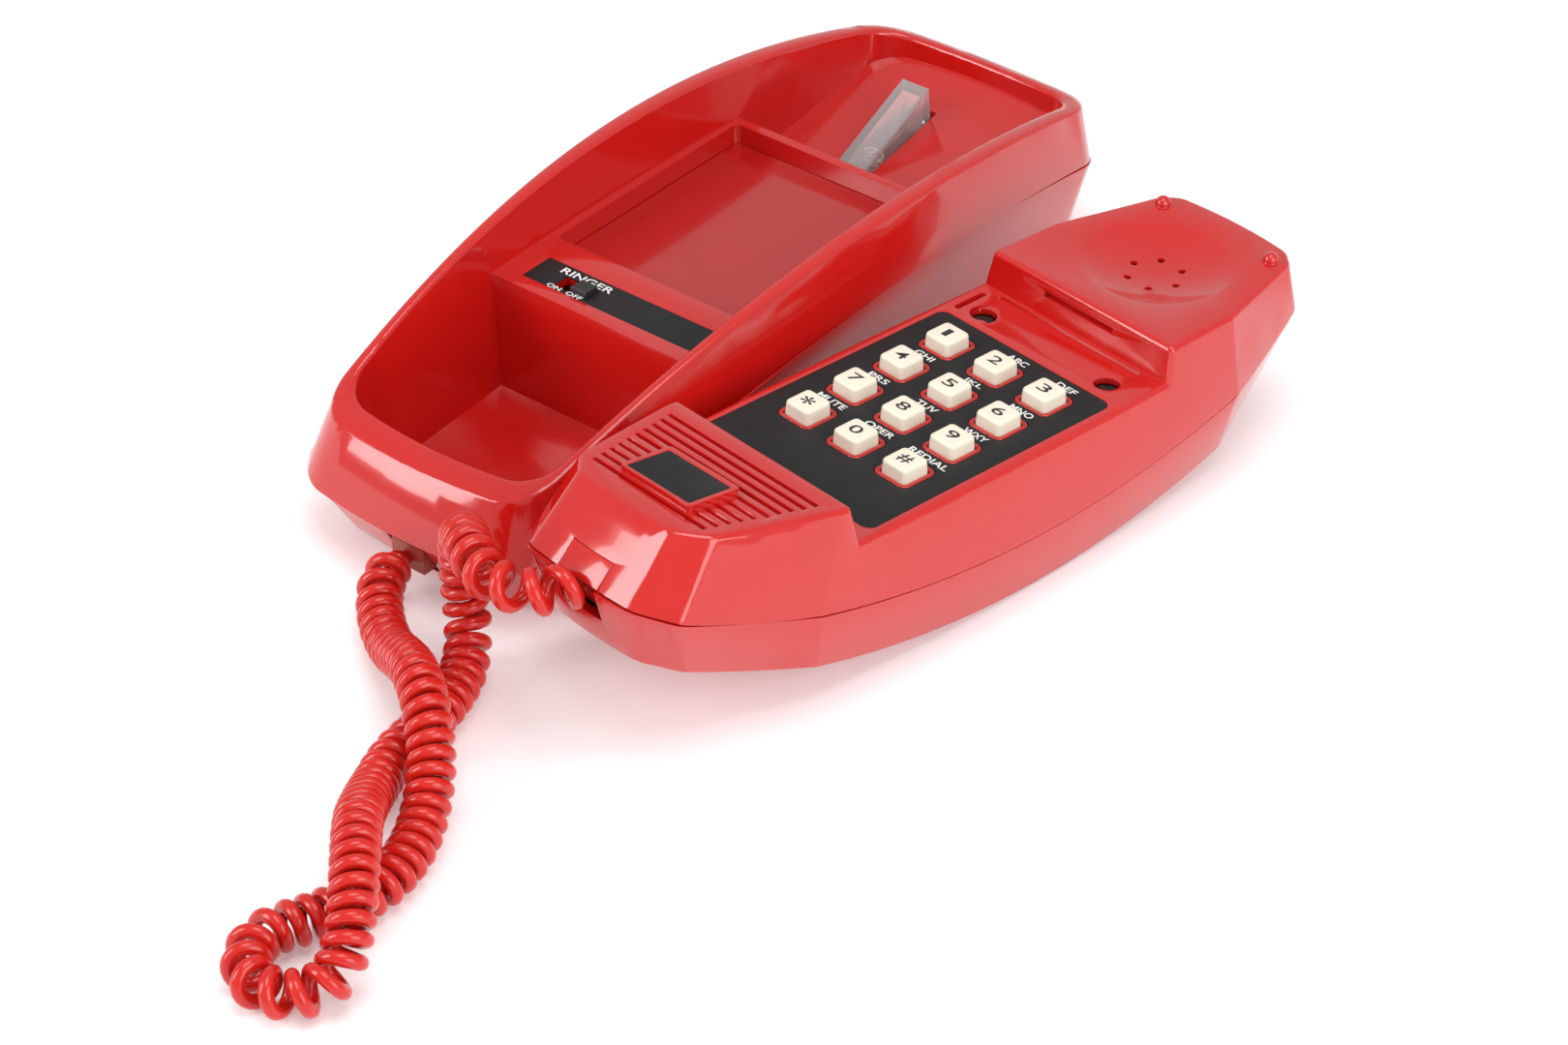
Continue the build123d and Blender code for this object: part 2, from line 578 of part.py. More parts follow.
with BuildPart() as line_jack:
    with BuildSketch(level(floor_top)):
        with Locations((LINE_JACK_X, LINE_JACK_Y)):
            Rectangle(15.0, 13.0)
    extrude(amount=BOARD_Z - floor_top)
    with BuildSketch(level(floor_top)):
        with Locations((LINE_JACK_X, LINE_JACK_Y)):
            Rectangle(9.8, 6.9)
    extrude(amount=7.4, mode=Mode.SUBTRACT)
line_jack.part.label = "line_jack"
export_step(line_jack.part, "parts/line_jack.step")

base_jack_front = Plane(
    (BASE_X + NOTCH_X, BASE_Y - BASE_JACK_Y, BASE_PLUG_Z), x_dir=(1, 0, 0), z_dir=(0, -1, 0)
)
with BuildPart() as base_cord_jack:
    with BuildSketch(base_jack_front):
        Rectangle(13.6, 8.8)
    extrude(amount=-BASE_JACK_DEPTH)
    with BuildSketch(base_jack_front):
        Rectangle(PLUG_WIDTH + 0.4, PLUG_HEIGHT + 0.4)
    extrude(amount=-BASE_PLUG_INSERTION - 0.2, mode=Mode.SUBTRACT)
base_cord_jack.part.label = "base_cord_jack"
export_step(base_cord_jack.part, "parts/base_cord_jack.step")

with BuildPart() as base_cord_plug:
    with BuildSketch(base_jack_front.offset(-BASE_PLUG_INSERTION)):
        Rectangle(PLUG_WIDTH, PLUG_HEIGHT)
    extrude(amount=BASE_PLUG_INSERTION + BASE_PLUG_REACH)
    chamfer(base_cord_plug.faces().sort_by(Axis.Y)[-1].edges(), 0.6)
base_cord_plug.part.label = "base_cord_plug"
export_step(base_cord_plug.part, "parts/base_cord_plug.step")

# ---------------------------------------------------------------- handset shells


def handset_plan(z, corners, middle, round_corner):
    """Plan of the handset at a height, from its right-hand corners, mouth end first."""
    mouth_end, mouth_corner, mouth_side, ear_side, ear_corner, ear_end = corners
    left = [(-x, y) for x, y in corners]
    with BuildSketch(deck.offset(z)) as outline:
        with BuildLine():
            Polyline(mouth_end, mouth_corner, mouth_side)
            ThreePointArc(mouth_side, (middle, 4.0), ear_side)
            Polyline(ear_side, ear_corner, ear_end)
            ThreePointArc(ear_end, (0, ear_end[1] + 1.2), left[5])
            Polyline(left[5], left[4], left[3])
            ThreePointArc(left[3], (-middle, 4.0), left[2])
            Polyline(left[2], left[1], left[0])
            ThreePointArc(left[0], (0, mouth_end[1] - 1.2), mouth_end)
        make_face()
        fillet(outline.vertices(), round_corner)
    return outline.sketch


# right-hand corners of the plan at two heights: mouth end, corner, shoulder, then the ear's three
FRONT_LOW_Z, FRONT_HIGH_Z = -24.0, 15.0
FRONT_LOW = [(18.7, -122.9), (26.9, -108.3), (30.7, -62), (30.6, 72), (24.5, 101), (19, 107)]
FRONT_HIGH = [(14.4, -86.2), (20.3, -80.6), (26.5, -50), (26.4, 68), (18.8, 95.4), (15.4, 97.8)]
FRONT_MIDDLE_LOW, FRONT_MIDDLE_HIGH = 31.7, 27.3
BACK_LOW_Z, BACK_HIGH_Z = -39.0, 4.0
BACK_LOW = [(11.6, -88.6), (14, -82.4), (23.7, -55), (23.1, 70), (12.6, 88.4), (9.5, 92)]
BACK_HIGH = [(16.5, -101.8), (25.1, -95.6), (33.4, -61.2), (33.1, 71.3), (23.8, 100.6), (18.6, 104)]
BACK_MIDDLE_LOW, BACK_MIDDLE_HIGH = 26.8, 36.6


def grown(corners, outset):
    """The corners moved outwards across and along the handset."""
    return [(x + outset, y + outset * math.copysign(1.0, y)) for x, y in corners]


def front_form(inset=0.0):
    """Two plans whose loft is the front shell's outside, or its inside."""
    low = handset_plan(
        FRONT_LOW_Z, grown(FRONT_LOW, -inset), FRONT_MIDDLE_LOW - inset, SHELL_CORNER
    )
    high = handset_plan(
        FRONT_HIGH_Z, grown(FRONT_HIGH, -inset), FRONT_MIDDLE_HIGH - inset, SHELL_CORNER
    )
    return [low, high]


def back_form(inset=0.0):
    """Two plans whose loft is the back shell's outside, or its inside."""
    corner = BACK_CORNER - inset
    low = handset_plan(BACK_LOW_Z, grown(BACK_LOW, -inset), BACK_MIDDLE_LOW - inset, corner)
    high = handset_plan(BACK_HIGH_Z, grown(BACK_HIGH, -inset), BACK_MIDDLE_HIGH - inset, corner)
    return [low, high]


def mouth_top(y):
    """Height of the mouth cap's sloping top."""
    share = (y - MOUTH_STEP) / (MOUTH_END - MOUTH_STEP)
    return MOUTH_TOP_LOW + (MOUTH_TOP_HIGH - MOUTH_TOP_LOW) * share


def front_side(drop=0.0):
    """Side view of the front shell down to the seam, its top and steps lowered by drop."""
    seam_end = arch(-HANDSET_REACH, HANDSET_SEAM_Y, HANDSET_SEAM_LOW, -HANDSET_SEAM_RADIUS)
    seam_far = arch(HANDSET_REACH, HANDSET_SEAM_Y, HANDSET_SEAM_LOW, -HANDSET_SEAM_RADIUS)
    with BuildSketch(handset_side) as profile:
        with BuildLine():
            ThreePointArc(
                (-HANDSET_REACH, seam_end - drop),
                (HANDSET_SEAM_Y, HANDSET_SEAM_LOW - drop),
                (HANDSET_REACH, seam_far - drop),
            )
            Polyline(
                (HANDSET_REACH, seam_far - drop),
                (HANDSET_REACH, EAR_TOP - drop),
                (EAR_STEP + EAR_RAMP + drop, EAR_TOP - drop),
                (EAR_STEP + drop, -drop),
                (MOUTH_STEP - drop, -drop),
                (MOUTH_STEP - MOUTH_RAMP - drop, mouth_top(MOUTH_STEP - MOUTH_RAMP) - drop),
                (-HANDSET_REACH, mouth_top(-HANDSET_REACH) - drop),
                (-HANDSET_REACH, seam_end - drop),
            )
        make_face()
    return profile.sketch


def back_side(inset=0.0):
    """Side view of the back shell, from the seam down to its bowed underside."""
    top = HANDSET_SEAM_LOW - SEAM_GAP + (20.0 if inset else 0.0)
    bottom = HANDSET_UNDER_LOW + inset
    under_radius = inset - HANDSET_UNDER_RADIUS
    reach = HANDSET_REACH
    seam_z = [arch(y, HANDSET_SEAM_Y, top, -HANDSET_SEAM_RADIUS) for y in (-reach, reach)]
    under_z = [arch(y, HANDSET_SEAM_Y, bottom, under_radius) for y in (-reach, reach)]
    with BuildSketch(handset_side) as profile:
        with BuildLine():
            ThreePointArc((-reach, under_z[0]), (HANDSET_SEAM_Y, bottom), (reach, under_z[1]))
            Line((reach, under_z[1]), (reach, seam_z[1]))
            ThreePointArc((reach, seam_z[1]), (HANDSET_SEAM_Y, top), (-reach, seam_z[0]))
            Line((-reach, seam_z[0]), (-reach, under_z[0]))
        make_face()
    return profile.sketch


def key_places():
    """Middles of the twelve keys, row by row from the ear end."""
    return [
        ((column - 1) * KEY_PITCH_X, (1.5 - row) * KEY_PITCH_Y)
        for row in range(4)
        for column in range(3)
    ]


def cap_height(y):
    """Height of the front shell's top along its length: mouth cap, deck, ear cap and ramps."""
    if y > EAR_STEP:
        return min(EAR_TOP, EAR_TOP * (y - EAR_STEP) / EAR_RAMP)
    if y < MOUTH_STEP:
        return min(mouth_top(y), mouth_top(y) * (MOUTH_STEP - y) / MOUTH_RAMP)
    return 0.0


def on_cap_rim(edge):
    """True for the outer edges of the deck, the ramps and both caps."""
    spot = deck.to_local_coords(edge.position_at(0.5))
    foot_of_ramp = abs(spot.X) < 1.0 and spot.Z < 1.0
    return not foot_of_ramp and abs(spot.Z - cap_height(spot.Y)) < 0.3


overlay_y = (OVERLAY_BOTTOM + OVERLAY_TOP) / 2
overlay_length = OVERLAY_TOP - OVERLAY_BOTTOM
vent_pitch = (VENT_LAST - VENT_FIRST) / (VENTS - 1)
dish_sphere = (DISH_RADIUS**2 + DISH_DEPTH**2) / (2 * DISH_DEPTH)
mouth_slope = math.degrees(
    math.atan((MOUTH_TOP_HIGH - MOUTH_TOP_LOW) / (MOUTH_STEP - MOUTH_END))
)


def on_mouth_cap(y, lift=0.0):
    """Plane on the mouth cap's sloping top."""
    origin = deck.from_local_coords((0, y, mouth_top(y) + lift))
    return Plane(origin, x_dir=deck.x_dir, z_dir=deck.z_dir).rotated((-mouth_slope, 0, 0))


with BuildPart() as front_hollow:
    loft(front_form(WALL), ruled=True)
    extrude(front_side(WALL), amount=60, both=True, mode=Mode.INTERSECT)

def on_mouth_cap(y, lift=0.0):
    """Plane on the mouth cap's sloping top."""
    origin = deck.from_local_coords((0, y, mouth_top(y) + lift))
    return Plane(origin, x_dir=deck.x_dir, z_dir=deck.z_dir).rotated((-mouth_slope, 0, 0))


HANDSET_SCREWS = ((HANDSET_SCREW_X, HANDSET_SCREW_Y), (-HANDSET_SCREW_X, HANDSET_SCREW_Y))
badge_y = (BADGE_NEAR + BADGE_FAR) / 2
badge_length = BADGE_NEAR - BADGE_FAR
dish_floor = EAR_TOP - DISH_DEPTH
channel_y = (OVERLAY_TOP + EAR_STEP) / 2 + 1.2
channel_length = EAR_STEP - OVERLAY_TOP - 4.6

with BuildPart() as front_hollow:
    loft(front_form(WALL), ruled=True)
    extrude(front_side(WALL), amount=60, both=True, mode=Mode.INTERSECT)

with BuildPart() as handset_front_housing:
    loft(front_form(), ruled=True)
    extrude(front_side(), amount=60, both=True, mode=Mode.INTERSECT)
    fillet([edge for edge in edges() if on_cap_rim(edge)], CAP_ROUND)
    add(front_hollow.part, mode=Mode.SUBTRACT)
    # thicker floor under the dish, with the dish, its sound holes and two locating nubs
    with BuildSketch(deck.offset(dish_floor - WALL)):
        with Locations((0, DISH_Y)):
            Circle(DISH_RADIUS - 2.0)
    extrude(amount=DISH_DEPTH)
    with Locations(deck.from_local_coords((0, DISH_Y, dish_floor + dish_sphere))):
        Sphere(dish_sphere, mode=Mode.SUBTRACT)
    with BuildSketch(deck):
        with Locations((0, DISH_Y)):
            with PolarLocations(SOUND_CIRCLE, SOUND_HOLES):
                Circle(SOUND_RADIUS)
    extrude(amount=EAR_TOP, mode=Mode.SUBTRACT)
    for side in (-1, 1):
        with Locations(deck.from_local_coords((side * NUB_X, NUB_Y, EAR_TOP - 0.3))):
            Sphere(NUB_RADIUS)
    # slot in the ear cap's step
    with BuildSketch(handset_end.offset(-(EAR_STEP + 3.0))):
        with Locations((0, STEP_SLOT_Z)):
            Rectangle(STEP_SLOT_LENGTH, STEP_SLOT_HEIGHT)
    extrude(amount=6.0, mode=Mode.SUBTRACT)
    # seat of the overlay, the keys' holes and the shallow channel below the ear cap
    with BuildSketch(deck.offset(-OVERLAY_THICKNESS)):
        with Locations((0, overlay_y)):
            RectangleRounded(OVERLAY_WIDTH, overlay_length, 2.5)
    extrude(amount=OVERLAY_THICKNESS + 1.0, mode=Mode.SUBTRACT)
    with BuildSketch(deck.offset(-WALL - 1.0)):
        with Locations(*key_places()):
            RectangleRounded(KEY_HOLE, KEY_HOLE, 1.2)
    extrude(amount=WALL + 2.0, mode=Mode.SUBTRACT)
    with BuildSketch(deck.offset(-0.8)):
        with Locations((0, channel_y)):
            RectangleRounded(44.0, channel_length, 1.0)
    extrude(amount=1.6, mode=Mode.SUBTRACT)
    with BuildSketch(deck.offset(-1.4)):
        with Locations((-24.9, channel_y - 1.5)):
            SlotCenterToCenter(8.0, 1.6, rotation=90)
    extrude(amount=3.0, mode=Mode.SUBTRACT)
    # sunk seats and pillars of the two screws
    with BuildSketch(deck.offset(-SCREW_SEAT)):
        with Locations(*HANDSET_SCREWS):
            Circle(SCREW_HEAD + 0.5)
    extrude(amount=SCREW_SEAT + 1.0, mode=Mode.SUBTRACT)
    with BuildSketch(deck.offset(-PILLAR_JOINT)):
        with Locations(*HANDSET_SCREWS):
            Circle(3.6)
    extrude(amount=PILLAR_JOINT - SCREW_SEAT)
    with BuildSketch(deck.offset(-PILLAR_JOINT - 1.0)):
        with Locations(*HANDSET_SCREWS):
            Circle(SCREW_SHANK)
    extrude(amount=PILLAR_JOINT, mode=Mode.SUBTRACT)
    # pegs that carry the keypad's board
    with BuildSketch(deck.offset(-KEYPAD_BOARD_TOP)):
        with Locations(*PEGS):
            Circle(PEG_RADIUS)
    extrude(amount=KEYPAD_BOARD_TOP - WALL + 0.5)
    with BuildSketch(deck.offset(-KEYPAD_BOARD_TOP)):
        with Locations(*PEGS):
            Circle(PEG_CORE)
    extrude(amount=4.0, mode=Mode.SUBTRACT)
    # mouthpiece: a fan of slots with the badge's raised boss among them
    for index in range(VENTS):
        share = index / (VENTS - 1)
        half = VENT_HALF_FIRST + (VENT_HALF_LAST - VENT_HALF_FIRST) * share
        with BuildSketch(on_mouth_cap(VENT_FIRST + index * vent_pitch, -VENT_DEPTH)):
            Rectangle(2 * half, VENT_WIDTH)
        extrude(amount=VENT_DEPTH + 1.0, mode=Mode.SUBTRACT)
    with BuildSketch(on_mouth_cap(badge_y, -WALL + 0.2)):
        RectangleRounded(2 * BADGE_HALF + 2.4, badge_length + 2.4, 1.0)
    extrude(amount=WALL - 0.2 + BADGE_LIFT + BADGE_THICKNESS)
    with BuildSketch(on_mouth_cap(badge_y, BADGE_LIFT)):
        RectangleRounded(2 * BADGE_HALF, badge_length, 0.6)
    extrude(amount=BADGE_THICKNESS + 1.0, mode=Mode.SUBTRACT)
    # opening for the cord in the mouth end
    with BuildSketch(handset_end.offset(HANDSET_JACK_Y)):
        with Locations((0, -PLUG_LIFT)):
            Rectangle(CORD_OPENING_WIDTH, CORD_OPENING_HEIGHT)
    extrude(amount=20.0, mode=Mode.SUBTRACT)
handset_front_housing.part.label = "handset_front_housing"
export_step(handset_front_housing.part, "parts/handset_front_housing.step")

with BuildPart() as back_hollow:
    loft(back_form(WALL), ruled=True)
    extrude(back_side(WALL), amount=60, both=True, mode=Mode.INTERSECT)

with BuildPart() as handset_back_housing:
    loft(back_form(), ruled=True)
    extrude(back_side(), amount=60, both=True, mode=Mode.INTERSECT)
    add(back_hollow.part, mode=Mode.SUBTRACT)
    # pillars that the two screws bite into
    with BuildSketch(deck.offset(-PILLAR_FOOT)):
        with Locations(*HANDSET_SCREWS):
            Circle(3.4)
    extrude(amount=PILLAR_FOOT - PILLAR_JOINT - 0.2)
    with BuildSketch(deck.offset(-PILLAR_JOINT - 14.0)):
        with Locations(*HANDSET_SCREWS):
            Circle(SCREW_CORE)
    extrude(amount=14.0, mode=Mode.SUBTRACT)
    # sill of the cord's opening
    with BuildSketch(handset_end.offset(HANDSET_JACK_Y)):
        with Locations((0, -PLUG_LIFT)):
            Rectangle(CORD_OPENING_WIDTH, CORD_OPENING_HEIGHT)
    extrude(amount=20.0, mode=Mode.SUBTRACT)
handset_back_housing.part.label = "handset_back_housing"
export_step(handset_back_housing.part, "parts/handset_back_housing.step")

# ---------------------------------------------------------------- handset, fittings

with BuildPart() as keypad_overlay:
    with BuildSketch(deck.offset(-OVERLAY_THICKNESS)):
        with Locations((0, overlay_y)):
            RectangleRounded(OVERLAY_WIDTH - 0.2, overlay_length - 0.2, 2.4)
        with Locations(*key_places()):
            RectangleRounded(OVERLAY_HOLE, OVERLAY_HOLE, 1.6, mode=Mode.SUBTRACT)
    extrude(amount=OVERLAY_THICKNESS)
keypad_overlay.part.label = "keypad_overlay"
export_step(keypad_overlay.part, "parts/keypad_overlay.step")


def key_plan(place, z, size):
    """Square plan of a key's cap at a height above the deck."""
    with BuildSketch(deck.offset(z)) as outline:
        with Locations(place):
            RectangleRounded(size, size, 1.0)
    return outline.sketch


key_shoulder = WALL + 0.3
for name, place in zip(KEY_NAMES, key_places()):
    with BuildPart() as key:
        loft([key_plan(place, -key_shoulder, KEY_SIZE), key_plan(place, KEY_TOP, KEY_SIZE - 0.6)])
        top_face = max(faces(), key=lambda face: deck.to_local_coords(face.center()).Z)
        fillet(top_face.edges(), 0.5)
        with BuildSketch(deck.offset(-key_shoulder - KEY_FLANGE)):
            with Locations(place):
                Rectangle(KEY_SIZE + 2.7, KEY_SIZE + 2.7)
        extrude(amount=KEY_FLANGE)
    key.part.label = f"key_{name}"
    export_step(key.part, f"parts/key_{name}.step")

board_middle = (PEGS[0][1] + PEGS[-1][1]) / 2
board_length = PEGS[-1][1] - PEGS[0][1] + 7.0
with BuildPart() as keypad_membrane:
    with BuildSketch(deck.offset(-KEYPAD_BOARD_TOP)):
        with Locations((0, board_middle)):
            Rectangle(43.0, board_length - 1.0)
    extrude(amount=1.0)
    with BuildSketch(deck.offset(-KEYPAD_BOARD_TOP + 1.0)):
        with Locations(*key_places()):
            Circle(3.4)
    extrude(amount=0.7)
keypad_membrane.part.label = "keypad_membrane"
export_step(keypad_membrane.part, "parts/keypad_membrane.step")

with BuildPart() as keypad_circuit_board:
    with BuildSketch(deck.offset(-KEYPAD_BOARD_TOP - BOARD_THICKNESS)):
        with Locations((0, board_middle)):
            Rectangle(2 * PEGS[-1][0] + 4.0, board_length)
        with Locations(*PEGS):
            Circle(PEG_CORE + 0.2, mode=Mode.SUBTRACT)
    extrude(amount=BOARD_THICKNESS)
keypad_circuit_board.part.label = "keypad_circuit_board"
export_step(keypad_circuit_board.part, "parts/keypad_circuit_board.step")

with BuildPart() as keypad_screws:
    with BuildSketch(deck.offset(-KEYPAD_BOARD_TOP - BOARD_THICKNESS - 1.3)):
        with Locations(*PEGS):
            Circle(1.9)
    extrude(amount=1.3)
    with BuildSketch(deck.offset(-KEYPAD_BOARD_TOP - BOARD_THICKNESS)):
        with Locations(*PEGS):
            Circle(PEG_CORE)
    extrude(amount=BOARD_THICKNESS + 3.0)
keypad_screws.part.label = "keypad_screws"
export_step(keypad_screws.part, "parts/keypad_screws.step")

with BuildPart() as receiver_gasket:
    with BuildSketch(deck.offset(dish_floor - WALL - 1.2)):
        with Locations((0, DISH_Y)):
            Circle(13.0)
            Circle(9.5, mode=Mode.SUBTRACT)
    extrude(amount=1.2)
receiver_gasket.part.label = "receiver_gasket"
export_step(receiver_gasket.part, "parts/receiver_gasket.step")

with BuildPart() as receiver_capsule:
    with BuildSketch(deck.offset(dish_floor - WALL - 7.2)):
        with Locations((0, DISH_Y)):
            Circle(15.0)
    extrude(amount=6.0)
    with BuildSketch(deck.offset(dish_floor - WALL - 11.2)):
        with Locations((0, DISH_Y)):
            Circle(9.0)
    extrude(amount=4.0)
receiver_capsule.part.label = "receiver_capsule"
export_step(receiver_capsule.part, "parts/receiver_capsule.step")

with BuildPart() as microphone_capsule:
    with BuildSketch(deck.offset(1.5)):
        with Locations((0, MICROPHONE_Y)):
            Circle(5.0)
    extrude(amount=5.5)
microphone_capsule.part.label = "microphone_capsule"
export_step(microphone_capsule.part, "parts/microphone_capsule.step")

with BuildPart() as microphone_grommet:
    with BuildSketch(deck.offset(1.0)):
        with Locations((0, MICROPHONE_Y)):
            Circle(6.6)
            Circle(5.0, mode=Mode.SUBTRACT)
    extrude(amount=7.0)
microphone_grommet.part.label = "microphone_grommet"
export_step(microphone_grommet.part, "parts/microphone_grommet.step")

with BuildPart() as handset_screws:
    with BuildSketch(deck.offset(-SCREW_SEAT)):
        with Locations(*HANDSET_SCREWS):
            Circle(SCREW_HEAD)
    extrude(amount=1.5)
    with BuildSketch(deck.offset(-SCREW_SEAT - 14.0)):
        with Locations(*HANDSET_SCREWS):
            Circle(SCREW_CORE)
    extrude(amount=14.0)
handset_screws.part.label = "handset_screws"
export_step(handset_screws.part, "parts/handset_screws.step")

with BuildPart() as handset_weight:
    with BuildSketch(deck.offset(-31.4)):
        with Locations((0, 24.0)):
            RectangleRounded(24.0, 32.0, 2.0)
    extrude(amount=6.0)
handset_weight.part.label = "handset_weight"
export_step(handset_weight.part, "parts/handset_weight.step")

with BuildPart() as badge_plate:
    with BuildSketch(on_mouth_cap(badge_y, BADGE_LIFT)):
        RectangleRounded(2 * BADGE_HALF - 0.2, badge_length - 0.2, 0.5)
    extrude(amount=BADGE_THICKNESS)
badge_plate.part.label = "badge_plate"
export_step(badge_plate.part, "parts/badge_plate.step")

with BuildPart() as handset_cord_jack:
    with BuildSketch(handset_end.offset(HANDSET_JACK_Y - 2.0)):
        with Locations((0, -PLUG_LIFT)):
            Rectangle(13.8, 9.4)
    extrude(amount=11.4)
    with BuildSketch(handset_end.offset(HANDSET_JACK_Y)):
        with Locations((0, -PLUG_LIFT)):
            Rectangle(PLUG_WIDTH + 0.4, PLUG_HEIGHT + 0.4)
    extrude(amount=10.0, mode=Mode.SUBTRACT)
handset_cord_jack.part.label = "handset_cord_jack"
export_step(handset_cord_jack.part, "parts/handset_cord_jack.step")

with BuildPart() as handset_cord_plug:
    with BuildSketch(handset_end.offset(HANDSET_JACK_Y + 0.6)):
        with Locations((0, -PLUG_LIFT)):
            Rectangle(PLUG_WIDTH, PLUG_HEIGHT)
    extrude(amount=HANDSET_PLUG_FACE - HANDSET_JACK_Y - 0.6)
handset_cord_plug.part.label = "handset_cord_plug"
export_step(handset_cord_plug.part, "parts/handset_cord_plug.step")

# ---------------------------------------------------------------- curly cord

plug_exit = deck.from_local_coords((0, -HANDSET_PLUG_FACE, -PLUG_LIFT))
first_bend = deck.from_local_coords((0, -HANDSET_PLUG_FACE - PLUG_RUN, -PLUG_LIFT))
cord_points = [Vector(BASE_X + x, BASE_Y + y, z) for x, y, z in CORD_ROUTE]
cord_points += [first_bend, plug_exit]

cord_radii = []
for before, corner, after in zip(cord_points, cord_points[1:], cord_points[2:]):
    shorter = min((corner - before).length, (after - corner).length)
    turn = math.radians((corner - before).get_angle(after - corner))
    cord_radii.append(0.45 * shorter / math.tan(turn / 2))
print("cord radii", [round(radius, 1) for radius in cord_radii])

with BuildPart() as curly_cord:
    with BuildLine():
        cord_line = FilletPolyline(*cord_points, radius=cord_radii)
    with BuildSketch(Plane(origin=cord_line @ 0, z_dir=cord_line % 0)):
        Circle(CORD_DIAMETER / 2)
    sweep(path=cord_line)
curly_cord.part.label = "curly_cord"
export_step(curly_cord.part, "parts/curly_cord.step")
section = math.pi * CORD_DIAMETER**2 / 4
print("cord length", round(cord_line.length, 1), "volume", round(curly_cord.part.volume))
print("section times length", round(section * cord_line.length))
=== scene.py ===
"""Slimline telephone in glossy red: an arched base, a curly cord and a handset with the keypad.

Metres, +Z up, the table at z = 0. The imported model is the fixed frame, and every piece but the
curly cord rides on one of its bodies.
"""

import json
import logging
import math
from dataclasses import dataclass, field
from enum import Enum
from typing import Callable

import bpy
import numpy as np
from mathutils import Matrix, Vector

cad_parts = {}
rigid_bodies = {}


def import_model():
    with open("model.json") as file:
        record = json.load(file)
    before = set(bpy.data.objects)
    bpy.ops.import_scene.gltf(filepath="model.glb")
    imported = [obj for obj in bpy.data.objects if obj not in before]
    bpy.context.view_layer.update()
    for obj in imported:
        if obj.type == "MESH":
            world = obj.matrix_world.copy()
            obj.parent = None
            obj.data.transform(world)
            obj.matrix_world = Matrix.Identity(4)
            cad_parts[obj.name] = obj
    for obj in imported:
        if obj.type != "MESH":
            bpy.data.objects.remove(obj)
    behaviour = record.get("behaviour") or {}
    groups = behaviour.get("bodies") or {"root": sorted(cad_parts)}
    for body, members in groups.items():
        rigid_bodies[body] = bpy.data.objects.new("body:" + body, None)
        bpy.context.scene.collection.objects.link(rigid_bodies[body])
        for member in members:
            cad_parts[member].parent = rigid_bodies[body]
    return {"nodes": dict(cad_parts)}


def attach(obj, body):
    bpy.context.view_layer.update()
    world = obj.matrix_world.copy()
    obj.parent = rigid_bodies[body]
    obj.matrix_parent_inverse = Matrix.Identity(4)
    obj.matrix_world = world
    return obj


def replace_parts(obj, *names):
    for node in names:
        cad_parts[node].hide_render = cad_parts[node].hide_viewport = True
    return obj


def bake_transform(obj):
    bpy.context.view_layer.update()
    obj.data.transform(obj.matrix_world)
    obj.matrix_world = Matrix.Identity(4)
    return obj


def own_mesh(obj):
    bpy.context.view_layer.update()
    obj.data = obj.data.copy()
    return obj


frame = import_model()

logging.basicConfig(level=logging.INFO, format="%(message)s")
log = logging.getLogger("telephone")

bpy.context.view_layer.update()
MM = 0.001
Point = tuple[float, float, float]

# ---------------------------------------------------------------- places


def deck_place() -> Matrix:
    """The keypad deck's frame: x across the handset, y towards the ear end, z out of the keys.

    Returns:
        The matrix from that frame to the row frame.
    """
    yaw, pitch = math.radians(7.9), math.radians(2.4)
    across = Vector((math.cos(yaw), -math.sin(yaw), 0.0))
    out = Vector((math.sin(yaw) * math.sin(pitch), math.cos(yaw) * math.sin(pitch), math.cos(pitch)))
    turn = Matrix((across, out.cross(across), out)).transposed().to_4x4()
    return Matrix.Translation((0.0407, -0.01584, 0.0372)) @ turn


DECK = deck_place()
BASE = Matrix.Translation((-0.0383, 0.00736, 0.0))


# ---------------------------------------------------------------- hand tools


class Grip(Enum):
    """What edit mode takes hold of."""

    VERTICES = (True, False, False)
    EDGES = (False, True, False)
    FACES = (False, False, True)


def take(obj: bpy.types.Object) -> None:
    """Makes obj the only selected object, and the active one."""
    if bpy.context.object and bpy.context.object.mode != "OBJECT":
        bpy.ops.object.mode_set(mode="OBJECT")
    for other in bpy.context.view_layer.objects:
        other.select_set(False)
    obj.select_set(True)
    bpy.context.view_layer.objects.active = obj


def leave() -> None:
    """Goes back to object mode."""
    bpy.ops.object.mode_set(mode="OBJECT")


def pick(obj: bpy.types.Object, grip: Grip, wanted: Callable[[Vector, Vector], bool]) -> None:
    """Enters edit mode with only the wanted elements selected.

    Args:
        obj: the mesh object.
        grip: vertices, edges or faces.
        wanted: takes an element's middle and its normal, or an edge's direction.
    """
    take(obj)
    bpy.ops.object.mode_set(mode="EDIT")
    bpy.context.tool_settings.mesh_select_mode = grip.value
    bpy.ops.mesh.select_all(action="DESELECT")
    leave()
    mesh = obj.data
    if grip is Grip.FACES:
        for face in mesh.polygons:
            face.select = wanted(face.center, face.normal)
    elif grip is Grip.VERTICES:
        for vertex in mesh.vertices:
            vertex.select = wanted(vertex.co, vertex.normal)
    else:
        for edge in mesh.edges:
            low, high = (mesh.vertices[i].co for i in edge.vertices)
            edge.select = wanted((low + high) / 2, (high - low).normalized())
    bpy.ops.object.mode_set(mode="EDIT")


